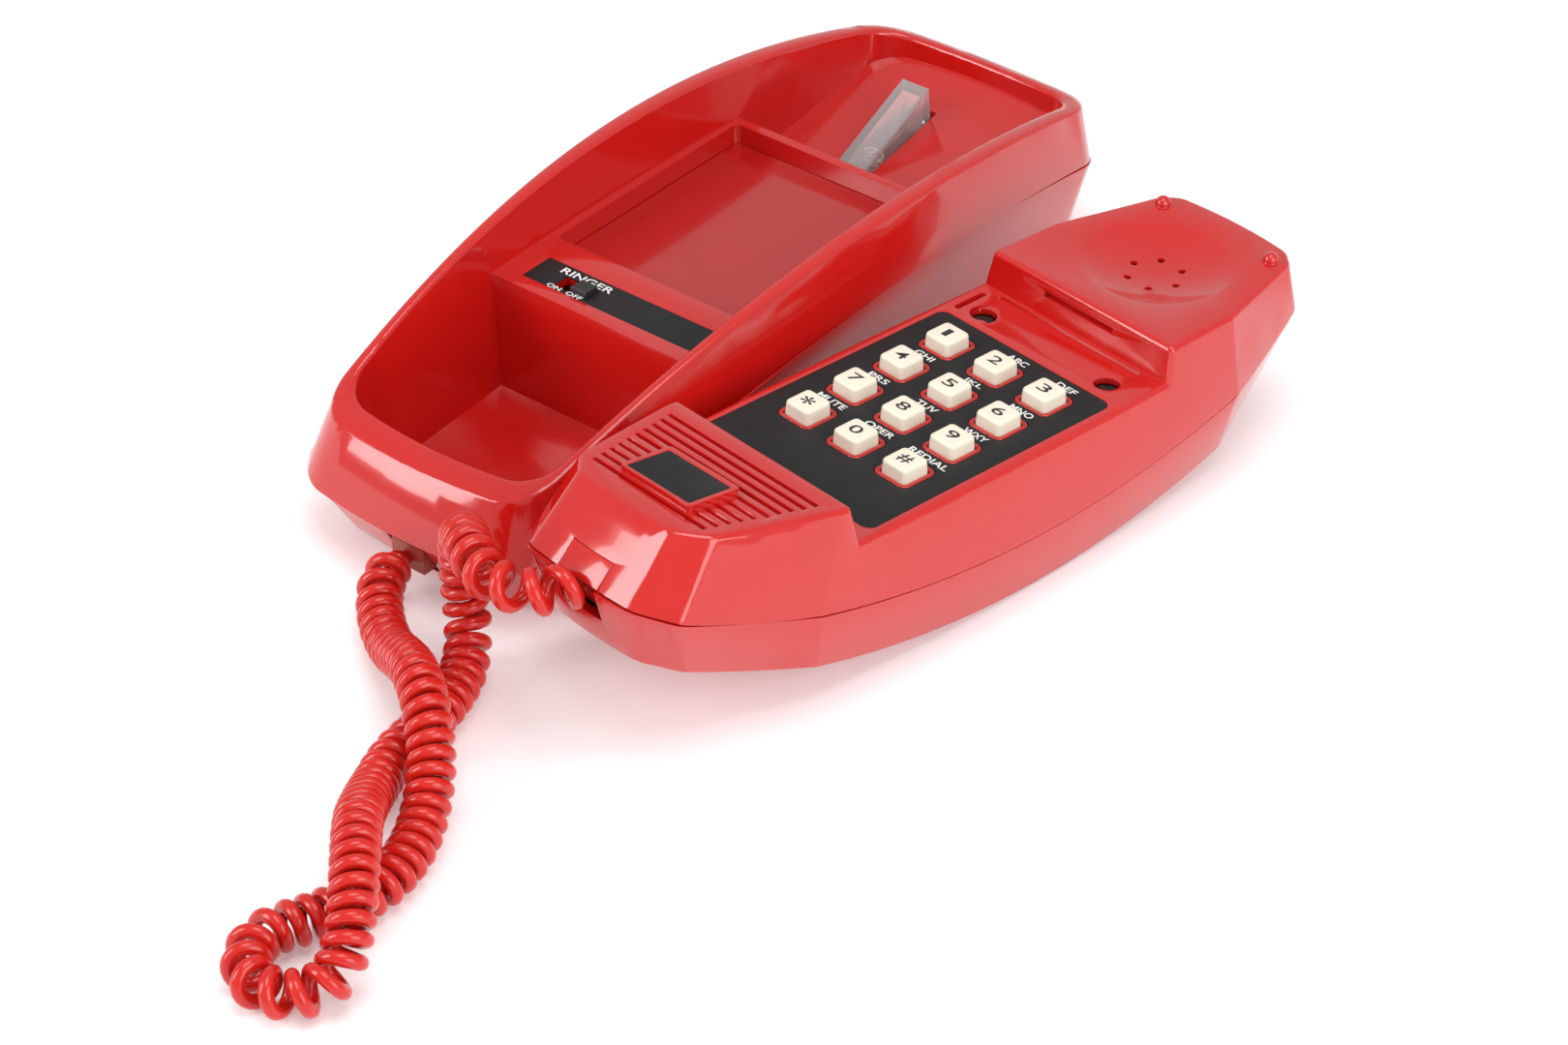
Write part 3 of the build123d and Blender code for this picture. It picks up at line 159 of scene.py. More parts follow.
def block(name: str, size: Point, middle: Point) -> bpy.types.Object:
    """A box of a size at a place, to be shaped further.

    Args:
        name: the piece's name.
        size: its lengths along x, y and z.
        middle: its centre.

    Returns:
        The new object, with its place in its mesh.
    """
    bpy.ops.mesh.primitive_cube_add(size=1.0, location=middle, scale=size)
    obj = bpy.context.object
    obj.name = obj.data.name = name
    take(obj)
    bpy.ops.object.transform_apply(location=True, rotation=True, scale=True)
    return obj


def apply_modifier(obj: bpy.types.Object, kind: str, **settings: object) -> None:
    """Adds a modifier with these settings and applies it."""
    modifier = obj.modifiers.new(kind.title(), kind)
    for key, value in settings.items():
        setattr(modifier, key, value)
    take(obj)
    bpy.ops.object.modifier_apply(modifier=modifier.name)


def smooth(obj: bpy.types.Object, degrees: float = 35.0) -> None:
    """Shades obj smooth, apart from edges sharper than an angle."""
    take(obj)
    bpy.ops.object.shade_smooth_by_angle(angle=math.radians(degrees))


def twin(obj: bpy.types.Object, name: str, place: Matrix) -> bpy.types.Object:
    """A copy of a piece with its own mesh, put in place.

    Args:
        obj: the piece to copy.
        name: the copy's name.
        place: where the copy's mesh goes.

    Returns:
        The copy.
    """
    copy = bpy.data.objects.new(name, obj.data.copy())
    copy.data.name = name
    copy.data.transform(place)
    bpy.context.scene.collection.objects.link(copy)
    return copy


def discard(obj: bpy.types.Object) -> None:
    """Removes a pattern piece once its copies are made."""
    bpy.data.objects.remove(obj, do_unlink=True)


def dress(
    obj: bpy.types.Object, finish: "Finish", body: str = ""
) -> bpy.types.Object:
    """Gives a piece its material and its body.

    Args:
        obj: the piece.
        finish: what it is finished in.
        body: the CAD body that it rides on, if it is a new piece.

    Returns:
        The piece.
    """
    obj.data.materials.clear()
    obj.data.materials.append(finish.material())
    if body:
        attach(obj, body)
    log.info("%s: %d faces, %s, on %s", obj.name, len(obj.data.polygons), finish.name, body)
    return obj


# ---------------------------------------------------------------- shared surface effects


class Effect(Enum):
    """The node groups that materials share."""

    MOTTLE = "surface_mottle"
    DUST = "dust_specks"
    SCUFF = "fine_scuffs"
    RELIEF = "moulded_relief"


def effect_tree(effect: Effect, takes: dict[str, str], gives: dict[str, str]) -> tuple:
    """Starts a node group.

    Args:
        effect: which group.
        takes: its inputs' names and socket types.
        gives: its outputs' names and socket types.

    Returns:
        The tree, its input node and its output node.
    """
    tree = bpy.data.node_groups.new(effect.value, "ShaderNodeTree")
    for label, kind in takes.items():
        tree.interface.new_socket(label, in_out="INPUT", socket_type=kind)
    for label, kind in gives.items():
        tree.interface.new_socket(label, in_out="OUTPUT", socket_type=kind)
    return tree, tree.nodes.new("NodeGroupInput"), tree.nodes.new("NodeGroupOutput")


def noise(tree: bpy.types.NodeTree, detail: float) -> bpy.types.Node:
    """A noise texture with some detail."""
    node = tree.nodes.new("ShaderNodeTexNoise")
    node.inputs["Detail"].default_value = detail
    return node


def span(
    tree: bpy.types.NodeTree, low: float, high: float, to_low: float, to_high: float
) -> bpy.types.Node:
    """A map range node from one pair of values to another."""
    node = tree.nodes.new("ShaderNodeMapRange")
    labels = ("From Min", "From Max", "To Min", "To Max")
    for label, value in zip(labels, (low, high, to_low, to_high)):
        node.inputs[label].default_value = value
    return node


def maths(tree: bpy.types.NodeTree, operation: str, value: float = 0.5) -> bpy.types.Node:
    """A maths node with its second value set."""
    node = tree.nodes.new("ShaderNodeMath")
    node.operation = operation
    node.inputs[1].default_value = value
    return node


def build_mottle() -> bpy.types.NodeTree:
    """Slow variation in how light a moulding's colour is."""
    takes = {"Vector": "NodeSocketVector", "Colour": "NodeSocketColor", "Scale": "NodeSocketFloat"}
    takes["Amount"] = "NodeSocketFloat"
    tree, start, end = effect_tree(Effect.MOTTLE, takes, {"Colour": "NodeSocketColor"})
    cloud = noise(tree, 4.0)
    centred = maths(tree, "SUBTRACT", 0.5)
    scaled = maths(tree, "MULTIPLY")
    level = maths(tree, "ADD", 1.0)
    tint = tree.nodes.new("ShaderNodeVectorMath")
    tint.operation = "SCALE"
    tree.links.new(start.outputs["Vector"], cloud.inputs["Vector"])
    tree.links.new(start.outputs["Scale"], cloud.inputs["Scale"])
    tree.links.new(cloud.outputs["Fac"], centred.inputs[0])
    tree.links.new(centred.outputs[0], scaled.inputs[0])
    tree.links.new(start.outputs["Amount"], scaled.inputs[1])
    tree.links.new(scaled.outputs[0], level.inputs[0])
    tree.links.new(start.outputs["Colour"], tint.inputs[0])
    tree.links.new(level.outputs[0], tint.inputs["Scale"])
    tree.links.new(tint.outputs[0], end.inputs["Colour"])
    return tree


def build_dust() -> bpy.types.NodeTree:
    """Small specks of dust, more in some patches than in others."""
    takes = {"Vector": "NodeSocketVector", "Scale": "NodeSocketFloat", "Cover": "NodeSocketFloat"}
    tree, start, end = effect_tree(Effect.DUST, takes, {"Mask": "NodeSocketFloat"})
    cells = tree.nodes.new("ShaderNodeTexVoronoi")
    patches = noise(tree, 2.0)
    patches.inputs["Scale"].default_value = 45.0
    where = span(tree, 0.42, 0.68, 0.15, 1.0)
    parts = tree.nodes.new("ShaderNodeSeparateColor")
    chance = maths(tree, "POWER", 6.0)
    reach = maths(tree, "MULTIPLY")
    local = maths(tree, "MULTIPLY")
    inside = maths(tree, "LESS_THAN")
    tree.links.new(start.outputs["Vector"], cells.inputs["Vector"])
    tree.links.new(start.outputs["Vector"], patches.inputs["Vector"])
    tree.links.new(start.outputs["Scale"], cells.inputs["Scale"])
    tree.links.new(patches.outputs["Fac"], where.inputs["Value"])
    tree.links.new(cells.outputs["Color"], parts.inputs[0])
    tree.links.new(parts.outputs[0], chance.inputs[0])
    tree.links.new(chance.outputs[0], reach.inputs[0])
    tree.links.new(start.outputs["Cover"], reach.inputs[1])
    tree.links.new(reach.outputs[0], local.inputs[0])
    tree.links.new(where.outputs[0], local.inputs[1])
    tree.links.new(cells.outputs["Distance"], inside.inputs[0])
    tree.links.new(local.outputs[0], inside.inputs[1])
    tree.links.new(inside.outputs[0], end.inputs["Mask"])
    return tree


def build_scuff() -> bpy.types.NodeTree:
    """Fine rubbed lines in two directions."""
    takes = {"Vector": "NodeSocketVector", "Scale": "NodeSocketFloat", "Cover": "NodeSocketFloat"}
    tree, start, end = effect_tree(Effect.SCUFF, takes, {"Mask": "NodeSocketFloat"})
    masks = []
    for turn, stretch in ((0.6, (1.0, 16.0, 2.0)), (-0.9, (20.0, 1.0, 3.0))):
        aim = tree.nodes.new("ShaderNodeMapping")
        aim.inputs["Rotation"].default_value = (0.2, 0.1, turn)
        aim.inputs["Scale"].default_value = stretch
        lines = noise(tree, 1.0)
        cut = span(tree, 0.7, 0.78, 0.0, 1.0)
        tree.links.new(start.outputs["Vector"], aim.inputs["Vector"])
        tree.links.new(aim.outputs[0], lines.inputs["Vector"])
        tree.links.new(start.outputs["Scale"], lines.inputs["Scale"])
        tree.links.new(lines.outputs["Fac"], cut.inputs["Value"])
        masks.append(cut)
    both = maths(tree, "MAXIMUM")
    cover = maths(tree, "MULTIPLY")
    tree.links.new(masks[0].outputs[0], both.inputs[0])
    tree.links.new(masks[1].outputs[0], both.inputs[1])
    tree.links.new(both.outputs[0], cover.inputs[0])
    tree.links.new(start.outputs["Cover"], cover.inputs[1])
    tree.links.new(cover.outputs[0], end.inputs["Mask"])
    return tree


def build_relief() -> bpy.types.NodeTree:
    """The slight unevenness of a moulded or cast face."""
    takes = {"Vector": "NodeSocketVector", "Scale": "NodeSocketFloat", "Grain": "NodeSocketFloat"}
    tree, start, end = effect_tree(Effect.RELIEF, takes, {"Height": "NodeSocketFloat"})
    slow = noise(tree, 1.0)
    fine = noise(tree, 3.0)
    finer = maths(tree, "MULTIPLY", 9.0)
    share = maths(tree, "MULTIPLY")
    total = maths(tree, "ADD")
    tree.links.new(start.outputs["Vector"], slow.inputs["Vector"])
    tree.links.new(start.outputs["Vector"], fine.inputs["Vector"])
    tree.links.new(start.outputs["Scale"], slow.inputs["Scale"])
    tree.links.new(start.outputs["Scale"], finer.inputs[0])
    tree.links.new(finer.outputs[0], fine.inputs["Scale"])
    tree.links.new(fine.outputs["Fac"], share.inputs[0])
    tree.links.new(start.outputs["Grain"], share.inputs[1])
    tree.links.new(slow.outputs["Fac"], total.inputs[0])
    tree.links.new(share.outputs[0], total.inputs[1])
    tree.links.new(total.outputs[0], end.inputs["Height"])
    return tree


BUILDERS: dict[Effect, Callable[[], bpy.types.NodeTree]] = {
    Effect.MOTTLE: build_mottle,
    Effect.DUST: build_dust,
    Effect.SCUFF: build_scuff,
    Effect.RELIEF: build_relief,
}


def effect_node(
    tree: bpy.types.NodeTree, effect: Effect, coords: bpy.types.NodeSocket, **values: float
) -> bpy.types.Node:
    """Places a shared effect in a material.

    Args:
        tree: the material's nodes.
        effect: which effect.
        coords: what its Vector input reads.
        values: the other inputs' values, by name.

    Returns:
        The group node.
    """
    node = tree.nodes.new("ShaderNodeGroup")
    node.node_tree = bpy.data.node_groups.get(effect.value) or BUILDERS[effect]()
    tree.links.new(coords, node.inputs["Vector"])
    for label, value in values.items():
        node.inputs[label].default_value = value
    return node


@dataclass(frozen=True)
class Finish:
    """One finish: a colour, a gloss, and how much of each effect shows."""

    name: str
    colour: Point
    roughness: float
    metallic: float = 0.0
    coat: float = 0.0
    transmission: float = 0.0
    ior: float = 1.5
    specular: float = 0.5
    subsurface: float = 0.0
    mottle: float = 0.1
    mottle_scale: float = 60.0
    dust: float = 0.0
    dust_scale: float = 1400.0
    dust_colour: Point = (0.75, 0.62, 0.58)
    scuffs: float = 0.0
    scuff_scale: float = 90.0
    relief: float = 0.01
    relief_scale: float = 300.0
    grain: float = 0.1

    def material(self) -> bpy.types.Material:
        """Makes this finish's material, once.

        Returns:
            The material.
        """
        made = bpy.data.materials.get(self.name)
        if made:
            return made
        made = bpy.data.materials.new(self.name)
        made.use_nodes = True
        tree = made.node_tree
        shader = tree.nodes["Principled BSDF"]
        coords = tree.nodes.new("ShaderNodeTexCoord").outputs["Object"]
        self._plain_values(shader)
        self._colour(tree, shader, coords)
        self._gloss(tree, shader, coords)
        height = effect_node(tree, Effect.RELIEF, coords, Scale=self.relief_scale, Grain=self.grain)
        bump = tree.nodes.new("ShaderNodeBump")
        bump.inputs["Strength"].default_value = 1.0
        bump.inputs["Distance"].default_value = self.relief * MM
        tree.links.new(height.outputs["Height"], bump.inputs["Height"])
        tree.links.new(bump.outputs["Normal"], shader.inputs["Normal"])
        return made

    def _plain_values(self, shader: bpy.types.Node) -> None:
        """Sets what is the same all over on the shader's own sockets."""
        shader.inputs["Metallic"].default_value = self.metallic
        shader.inputs["Coat Weight"].default_value = self.coat
        shader.inputs["Coat Roughness"].default_value = 0.04
        shader.inputs["Transmission Weight"].default_value = self.transmission
        shader.inputs["IOR"].default_value = self.ior
        shader.inputs["Specular IOR Level"].default_value = self.specular
        shader.inputs["Subsurface Weight"].default_value = self.subsurface
        shader.inputs["Subsurface Radius"].default_value = (1.0, 0.7, 0.5)
        shader.inputs["Subsurface Scale"].default_value = 1.2 * MM

    def _colour(
        self, tree: bpy.types.NodeTree, shader: bpy.types.Node, coords: bpy.types.NodeSocket
    ) -> None:
        """Links the mottled colour, with dust over it where there is some."""
        tone = effect_node(tree, Effect.MOTTLE, coords, Scale=self.mottle_scale, Amount=self.mottle)
        tone.inputs["Colour"].default_value = (*self.colour, 1.0)
        if not self.dust:
            tree.links.new(tone.outputs["Colour"], shader.inputs["Base Color"])
            return
        specks = effect_node(tree, Effect.DUST, coords, Scale=self.dust_scale, Cover=self.dust)
        over = tree.nodes.new("ShaderNodeMix")
        over.data_type = "RGBA"
        over.inputs["B"].default_value = (*self.dust_colour, 1.0)
        tree.links.new(specks.outputs["Mask"], over.inputs["Factor"])
        tree.links.new(tone.outputs["Colour"], over.inputs["A"])
        tree.links.new(over.outputs["Result"], shader.inputs["Base Color"])

    def _gloss(
        self, tree: bpy.types.NodeTree, shader: bpy.types.Node, coords: bpy.types.NodeSocket
    ) -> None:
        """Links a roughness that varies slowly and rises along the scuffs."""
        cloud = noise(tree, 3.0)
        cloud.inputs["Scale"].default_value = self.mottle_scale * 1.7
        band = span(tree, 0.3, 0.7, self.roughness * 0.85, self.roughness * 1.2)
        rubbed = effect_node(tree, Effect.SCUFF, coords, Scale=self.scuff_scale, Cover=self.scuffs)
        total = maths(tree, "ADD")
        total.use_clamp = True
        tree.links.new(coords, cloud.inputs["Vector"])
        tree.links.new(cloud.outputs["Fac"], band.inputs["Value"])
        tree.links.new(band.outputs[0], total.inputs[0])
        tree.links.new(rubbed.outputs["Mask"], total.inputs[1])
        tree.links.new(total.outputs[0], shader.inputs["Roughness"])


RED_SHELL = Finish(
    "glossy_red_shell", (0.52, 0.009, 0.007), 0.14, coat=0.45, mottle=0.09, dust=0.13,
    dust_scale=2600.0, dust_colour=(0.62, 0.26, 0.22), scuffs=0.06, relief=0.005,
    relief_scale=220.0,
)
RED_TRAY = Finish(
    "glossy_red_card_panel", (0.42, 0.009, 0.008), 0.16, coat=0.45, mottle=0.16, dust=0.14,
    dust_scale=2400.0, dust_colour=(0.55, 0.26, 0.22), scuffs=0.12, relief=0.005,
    relief_scale=180.0,
)
RED_CORD = Finish(
    "glossy_red_cord", (0.56, 0.013, 0.008), 0.2, mottle=0.16, mottle_scale=240.0, dust=0.12,
    dust_scale=2600.0, dust_colour=(0.6, 0.26, 0.2), relief=0.012, relief_scale=500.0,
)
RED_SWITCH = Finish(
    "deep_red_switch", (0.40, 0.006, 0.006), 0.35, mottle=0.1, relief=0.006, relief_scale=900.0,
)
KEY_IVORY = Finish(
    "satin_ivory_key", (0.80, 0.73, 0.60), 0.34, mottle=0.06, mottle_scale=160.0, dust=0.10,
    dust_scale=2200.0, dust_colour=(0.35, 0.30, 0.24), relief=0.004, relief_scale=500.0,
    grain=0.6, subsurface=0.12,
)
OVERLAY_BLACK = Finish(
    "satin_black_overlay", (0.014, 0.014, 0.015), 0.5, specular=0.22, mottle=0.3, dust=0.12,
    dust_scale=2600.0, dust_colour=(0.2, 0.2, 0.2), scuffs=0.08, relief=0.006,
    relief_scale=1500.0, grain=1.0,
)
LABEL_BLACK = Finish(
    "satin_black_label", (0.015, 0.015, 0.016), 0.5, specular=0.25, mottle=0.3, dust=0.2,
    dust_scale=1800.0, dust_colour=(0.2, 0.16, 0.14), relief=0.005, relief_scale=1200.0,
    grain=0.8,
)
SWITCH_BLACK = Finish(
    "matt_black_moulding", (0.02, 0.02, 0.021), 0.5, mottle=0.3, relief=0.01, relief_scale=1500.0,
    grain=1.0,
)
INK_WHITE = Finish(
    "white_ink", (0.80, 0.80, 0.79), 0.5, mottle=0.12, mottle_scale=900.0, relief=0.004,
    relief_scale=2500.0,
)
INK_BLACK = Finish(
    "black_ink", (0.018, 0.017, 0.016), 0.45, mottle=0.3, mottle_scale=900.0, relief=0.004,
    relief_scale=2500.0,
)
CLEAR = Finish(
    "clear_moulding", (0.97, 0.93, 0.93), 0.09, transmission=0.8, ior=1.3, mottle=0.06,
    mottle_scale=200.0, scuffs=0.15, relief=0.006, relief_scale=320.0,
)
PLUG = Finish(
    "red_tinted_clear_plug", (0.80, 0.15, 0.12), 0.12, transmission=0.6, ior=1.4, mottle=0.1,
    mottle_scale=200.0, scuffs=0.15, relief=0.006, relief_scale=320.0,
)
STEEL = Finish(
    "zinc_plated_steel", (0.62, 0.61, 0.58), 0.3, metallic=1.0, mottle=0.25, scuffs=0.2,
    relief=0.006, relief_scale=900.0,
)
# Near-black screw heads: painted shade. The colour stands in for the shade down in the handset's
# screw pits.
PIT_SHADE_SCREW_STEEL = Finish(
    "screw_painted_pit_shade", (0.045, 0.03, 0.028), 0.5, metallic=0.6, mottle=0.3, scuffs=0.2,
    relief=0.006, relief_scale=900.0,
)
CAST = Finish(
    "raw_cast_weight", (0.16, 0.16, 0.17), 0.65, metallic=0.8, mottle=0.4, relief=0.08,
    relief_scale=900.0, grain=0.6,
)
CAN = Finish(
    "satin_metal_can", (0.62, 0.62, 0.62), 0.36, metallic=1.0, mottle=0.15, scuffs=0.15,
    relief=0.006, relief_scale=700.0,
)
BOARD = Finish(
    "phenolic_board", (0.33, 0.20, 0.08), 0.5, mottle=0.25, mottle_scale=200.0, relief=0.01,
    relief_scale=1200.0, grain=0.8,
)
PARTS = Finish(
    "mixed_components", (0.05, 0.05, 0.11), 0.4, mottle=0.5, mottle_scale=140.0, relief=0.01,
    relief_scale=900.0,
)
NYLON = Finish(
    "matt_nylon", (0.66, 0.64, 0.58), 0.5, mottle=0.08, relief=0.008, relief_scale=900.0,
    grain=0.5,
)
RUBBER = Finish(
    "matt_black_rubber", (0.02, 0.02, 0.02), 0.75, mottle=0.3, dust=0.3, relief=0.02,
    relief_scale=1100.0, grain=0.8,
)
SILICONE = Finish(
    "grey_silicone", (0.19, 0.19, 0.19), 0.6, mottle=0.2, relief=0.012, relief_scale=900.0,
    grain=0.5,
)


# ---------------------------------------------------------------- the cord


@dataclass
class CurlyCord:
    """The coiled handset cord, from the base's plug to the handset's."""

    wire: float = 3.2 * MM
    coil_radius: float = 3.7 * MM
    tight_pitch: float = 3.85 * MM
    open_pitch: float = 6.6 * MM
    open_length: float = 0.044
    lead_in: float = 0.0075
    turn_points: int = 22
    sides: int = 12
    line_step: float = 0.25 * MM
    most_crowding: float = 0.55
    least_gap: float = 1.07
    opening_run: float = 0.02
    unevenness: float = 0.05
    lift_from: Point = (-0.0113, -0.1091, 0.0144)
    lift_to: Point = (-0.0029, -0.0979, 0.0387)
    route: tuple[Point, ...] = (
        (-0.03780, -0.09904, 0.00820),
        (-0.03780, -0.10764, 0.00820),
        (-0.03080, -0.11614, 0.00560),
        (-0.02030, -0.12364, 0.00590),
        (-0.00930, -0.13014, 0.01220),
        (0.00020, -0.13664, 0.01700),
        (0.00920, -0.14344, 0.01700),
        (0.01820, -0.15164, 0.01100),
        (0.02470, -0.16164, 0.00600),
        (0.02970, -0.17264, 0.00540),
        (0.03120, -0.18364, 0.00540),
        (0.02770, -0.19514, 0.00540),
        (0.02220, -0.20614, 0.00540),
        (0.02530, -0.21464, 0.00540),
        (0.03300, -0.21864, 0.00540),
        (0.04100, -0.21524, 0.00540),
        (0.04410, -0.20734, 0.00650),
        (0.04070, -0.19944, 0.01250),
        (0.03320, -0.19014, 0.01700),
        (0.02370, -0.17964, 0.01700),
        (0.01520, -0.16914, 0.01050),
        (0.00870, -0.15914, 0.00570),
        (0.00470, -0.14964, 0.00540),
        (0.00350, -0.13914, 0.00540),
        (0.00090, -0.12814, 0.00540),
        (-0.00330, -0.11814, 0.00560),
        (-0.00880, -0.11124, 0.00950),
        (-0.01140, -0.10914, 0.01850),
        (-0.01130, -0.10944, 0.02830),
        (-0.00730, -0.11284, 0.03680),
        (0.00120, -0.12014, 0.04020),
        (0.01240, -0.12664, 0.04050),
        (0.02588, -0.12266, 0.04072),
        (0.02779, -0.10891, 0.04014),
    )

    def centreline(self) -> np.ndarray:
        """Reads the smooth line of the route.

        Returns:
            Evenly spaced points along the line, a quarter of a millimetre apart.
        """
        curve = bpy.data.curves.new("cord_route", "CURVE")
        curve.dimensions = "3D"
        curve.resolution_u = 32
        spline = curve.splines.new("NURBS")
        spline.points.add(len(self.route) - 1)
        for point, place in zip(spline.points, self.route):
            point.co = (*place, 1.0)
        spline.order_u = 3
        spline.use_endpoint_u = True
        holder = bpy.data.objects.new("cord_route", curve)
        bpy.context.scene.collection.objects.link(holder)
        graph = bpy.context.evaluated_depsgraph_get()
        mesh = bpy.data.meshes.new_from_object(holder.evaluated_get(graph))
        line = np.array([vertex.co for vertex in mesh.vertices])
        bpy.data.objects.remove(holder)
        bpy.data.meshes.remove(mesh)
        run = np.concatenate([[0.0], np.cumsum(np.linalg.norm(np.diff(line, axis=0), axis=1))])
        even = np.linspace(0.0, run[-1], int(run[-1] / self.line_step))
        return np.stack([np.interp(even, run, line[:, axis]) for axis in range(3)], axis=1)

    def winding(self, line: np.ndarray) -> np.ndarray:
        """Winds the wire round the line.

        Args:
            line: evenly spaced points.

        Returns:
            The wire's centreline.
        """
        step = float(np.linalg.norm(line[1] - line[0]))
        run = np.arange(len(line)) * step
        total = run[-1]
        ahead, side = carried_frames(line)
        bend = np.linalg.norm(np.gradient(ahead, axis=0), axis=1) / step
        bend = np.convolve(bend, np.ones(25) / 25, mode="same")
        crowding = 1.0 - np.minimum(self.coil_radius * bend, self.most_crowding)
        pitch = np.maximum(self.tight_pitch, self.least_gap * self.wire / crowding)
        near_handset = np.clip((run - (total - self.open_length)) / self.opening_run, 0.0, 1.0)
        opened = self.tight_pitch + near_handset * (self.open_pitch - self.tight_pitch)
        pitch = np.maximum(pitch, opened)
        wander = 1.0 + self.unevenness * np.sin(run / 0.0093) * np.sin(run / 0.0217 + 1.0)
        turns = np.cumsum(step / (pitch * wander))
        count = int(turns[-1] * self.turn_points)
        at = np.interp(np.linspace(turns[0], turns[-1], count), turns, run)
        angle = np.linspace(turns[0], turns[-1], count) * math.tau
        reach = np.clip(np.minimum(at, total - at) / self.lead_in, 0.0, 1.0)
        radius = self.coil_radius * reach * reach * (3.0 - 2.0 * reach)
        places, sides, thirds = (
            np.stack([np.interp(at, run, rows[:, axis]) for axis in range(3)], axis=1)
            for rows in (line, side, np.cross(ahead, side))
        )
        turned = np.cos(angle)[:, None] * sides + np.sin(angle)[:, None] * thirds
        return places + radius[:, None] * turned

    def build(self) -> bpy.types.Object:
        """Makes the cord's mesh, gives it its material and hides the node that it stands for.

        Returns:
            The cord.
        """
        wire = self.winding(self.centreline())
        cord = tube("handset_curly_cord", wire, self.wire / 2, self.sides)
        smooth(cord, 60.0)
        cord.data.materials.append(RED_CORD.material())
        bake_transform(cord)
        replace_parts(cord, "curly_cord")
        return cord


def carried_frames(line: np.ndarray) -> tuple[np.ndarray, np.ndarray]:
    """Directions along a line and square to it, without twist.

    Args:
        line: points close together.

    Returns:
        The unit tangents and the unit side vectors.
    """
    ahead = np.gradient(line, axis=0)
    ahead /= np.linalg.norm(ahead, axis=1)[:, None]
    side = np.zeros_like(ahead)
    last = np.cross(ahead[0], (0.0, 0.0, 1.0))
    for number, direction in enumerate(ahead):
        last = last - direction * float(last @ direction)
        last /= np.linalg.norm(last)
        side[number] = last
    return ahead, side


def tube(name: str, line: np.ndarray, radius: float, sides: int) -> bpy.types.Object:
    """A closed round tube along a line.

    Args:
        name: the piece's name.
        line: its centreline.
        radius: half its thickness.
        sides: faces round it.

    Returns:
        The tube.
    """
    ahead, side = carried_frames(line)
    third = np.cross(ahead, side)
    angle = np.arange(sides) * math.tau / sides
    cosines, sines = np.cos(angle)[None, :, None], np.sin(angle)[None, :, None]
    ring = cosines * side[:, None, :] + sines * third[:, None, :]
    points = (line[:, None, :] + radius * ring).reshape(-1, 3)
    faces = []
    for row in range(len(line) - 1):
        for column in range(sides):
            a, b = row * sides + column, row * sides + (column + 1) % sides
            faces.append((a, b, b + sides, a + sides))
    faces.append(tuple(range(sides - 1, -1, -1)))
    faces.append(tuple((len(line) - 1) * sides + i for i in range(sides)))
    mesh = bpy.data.meshes.new(name)
    mesh.from_pydata(points.tolist(), [], faces)
    obj = bpy.data.objects.new(name, mesh)
    bpy.context.scene.collection.objects.link(obj)
    return obj


# ---------------------------------------------------------------- lettering


@dataclass
class Lettering:
    """Words printed on a face, fitted to a height and a width."""

    name: str
    words: str
    middle: tuple[float, float]
    height: float
    width: float
    top: float
    ink: Finish
    weight: float = 0.012
    relief: float = 0.05 * MM
    thick: float = 0.02

    def build(self, place: Matrix, body: str, slot: str) -> bpy.types.Object:
        """Makes the words as a thin raised print.

        Args:
            place: the frame that middle and top are in.
            body: the CAD body that they ride on.
            slot: the record's material slot; not used.

        Returns:
            The lettering.
        """
        bpy.ops.object.text_add()
        obj = bpy.context.object
        obj.name = self.name
        obj.data.body = self.words
        obj.data.offset = self.weight
        obj.data.extrude = self.thick
        obj.data.resolution_u = 6
        take(obj)
        bpy.ops.object.convert(target="MESH")
        obj.data.name = self.name
        corners = np.array([vertex.co for vertex in obj.data.vertices])
        low, high = corners.min(0), corners.max(0)
        across, along = self.width / (high[0] - low[0]), self.height / (high[1] - low[1])
        scale = Matrix.Diagonal((across, along, self.relief / (2.0 * self.thick), 1.0))
        centre = Matrix.Translation((-(low[0] + high[0]) / 2, -(low[1] + high[1]) / 2, 0.0))
        obj.data.transform(place @ Matrix.Translation((*self.middle, self.top)) @ scale @ centre)
        pick(obj, Grip.VERTICES, lambda spot, normal: True)
        bpy.ops.mesh.remove_doubles(threshold=1e-7)
        leave()
        return dress(obj, self.ink, body)


# ---------------------------------------------------------------- the handset's keypad


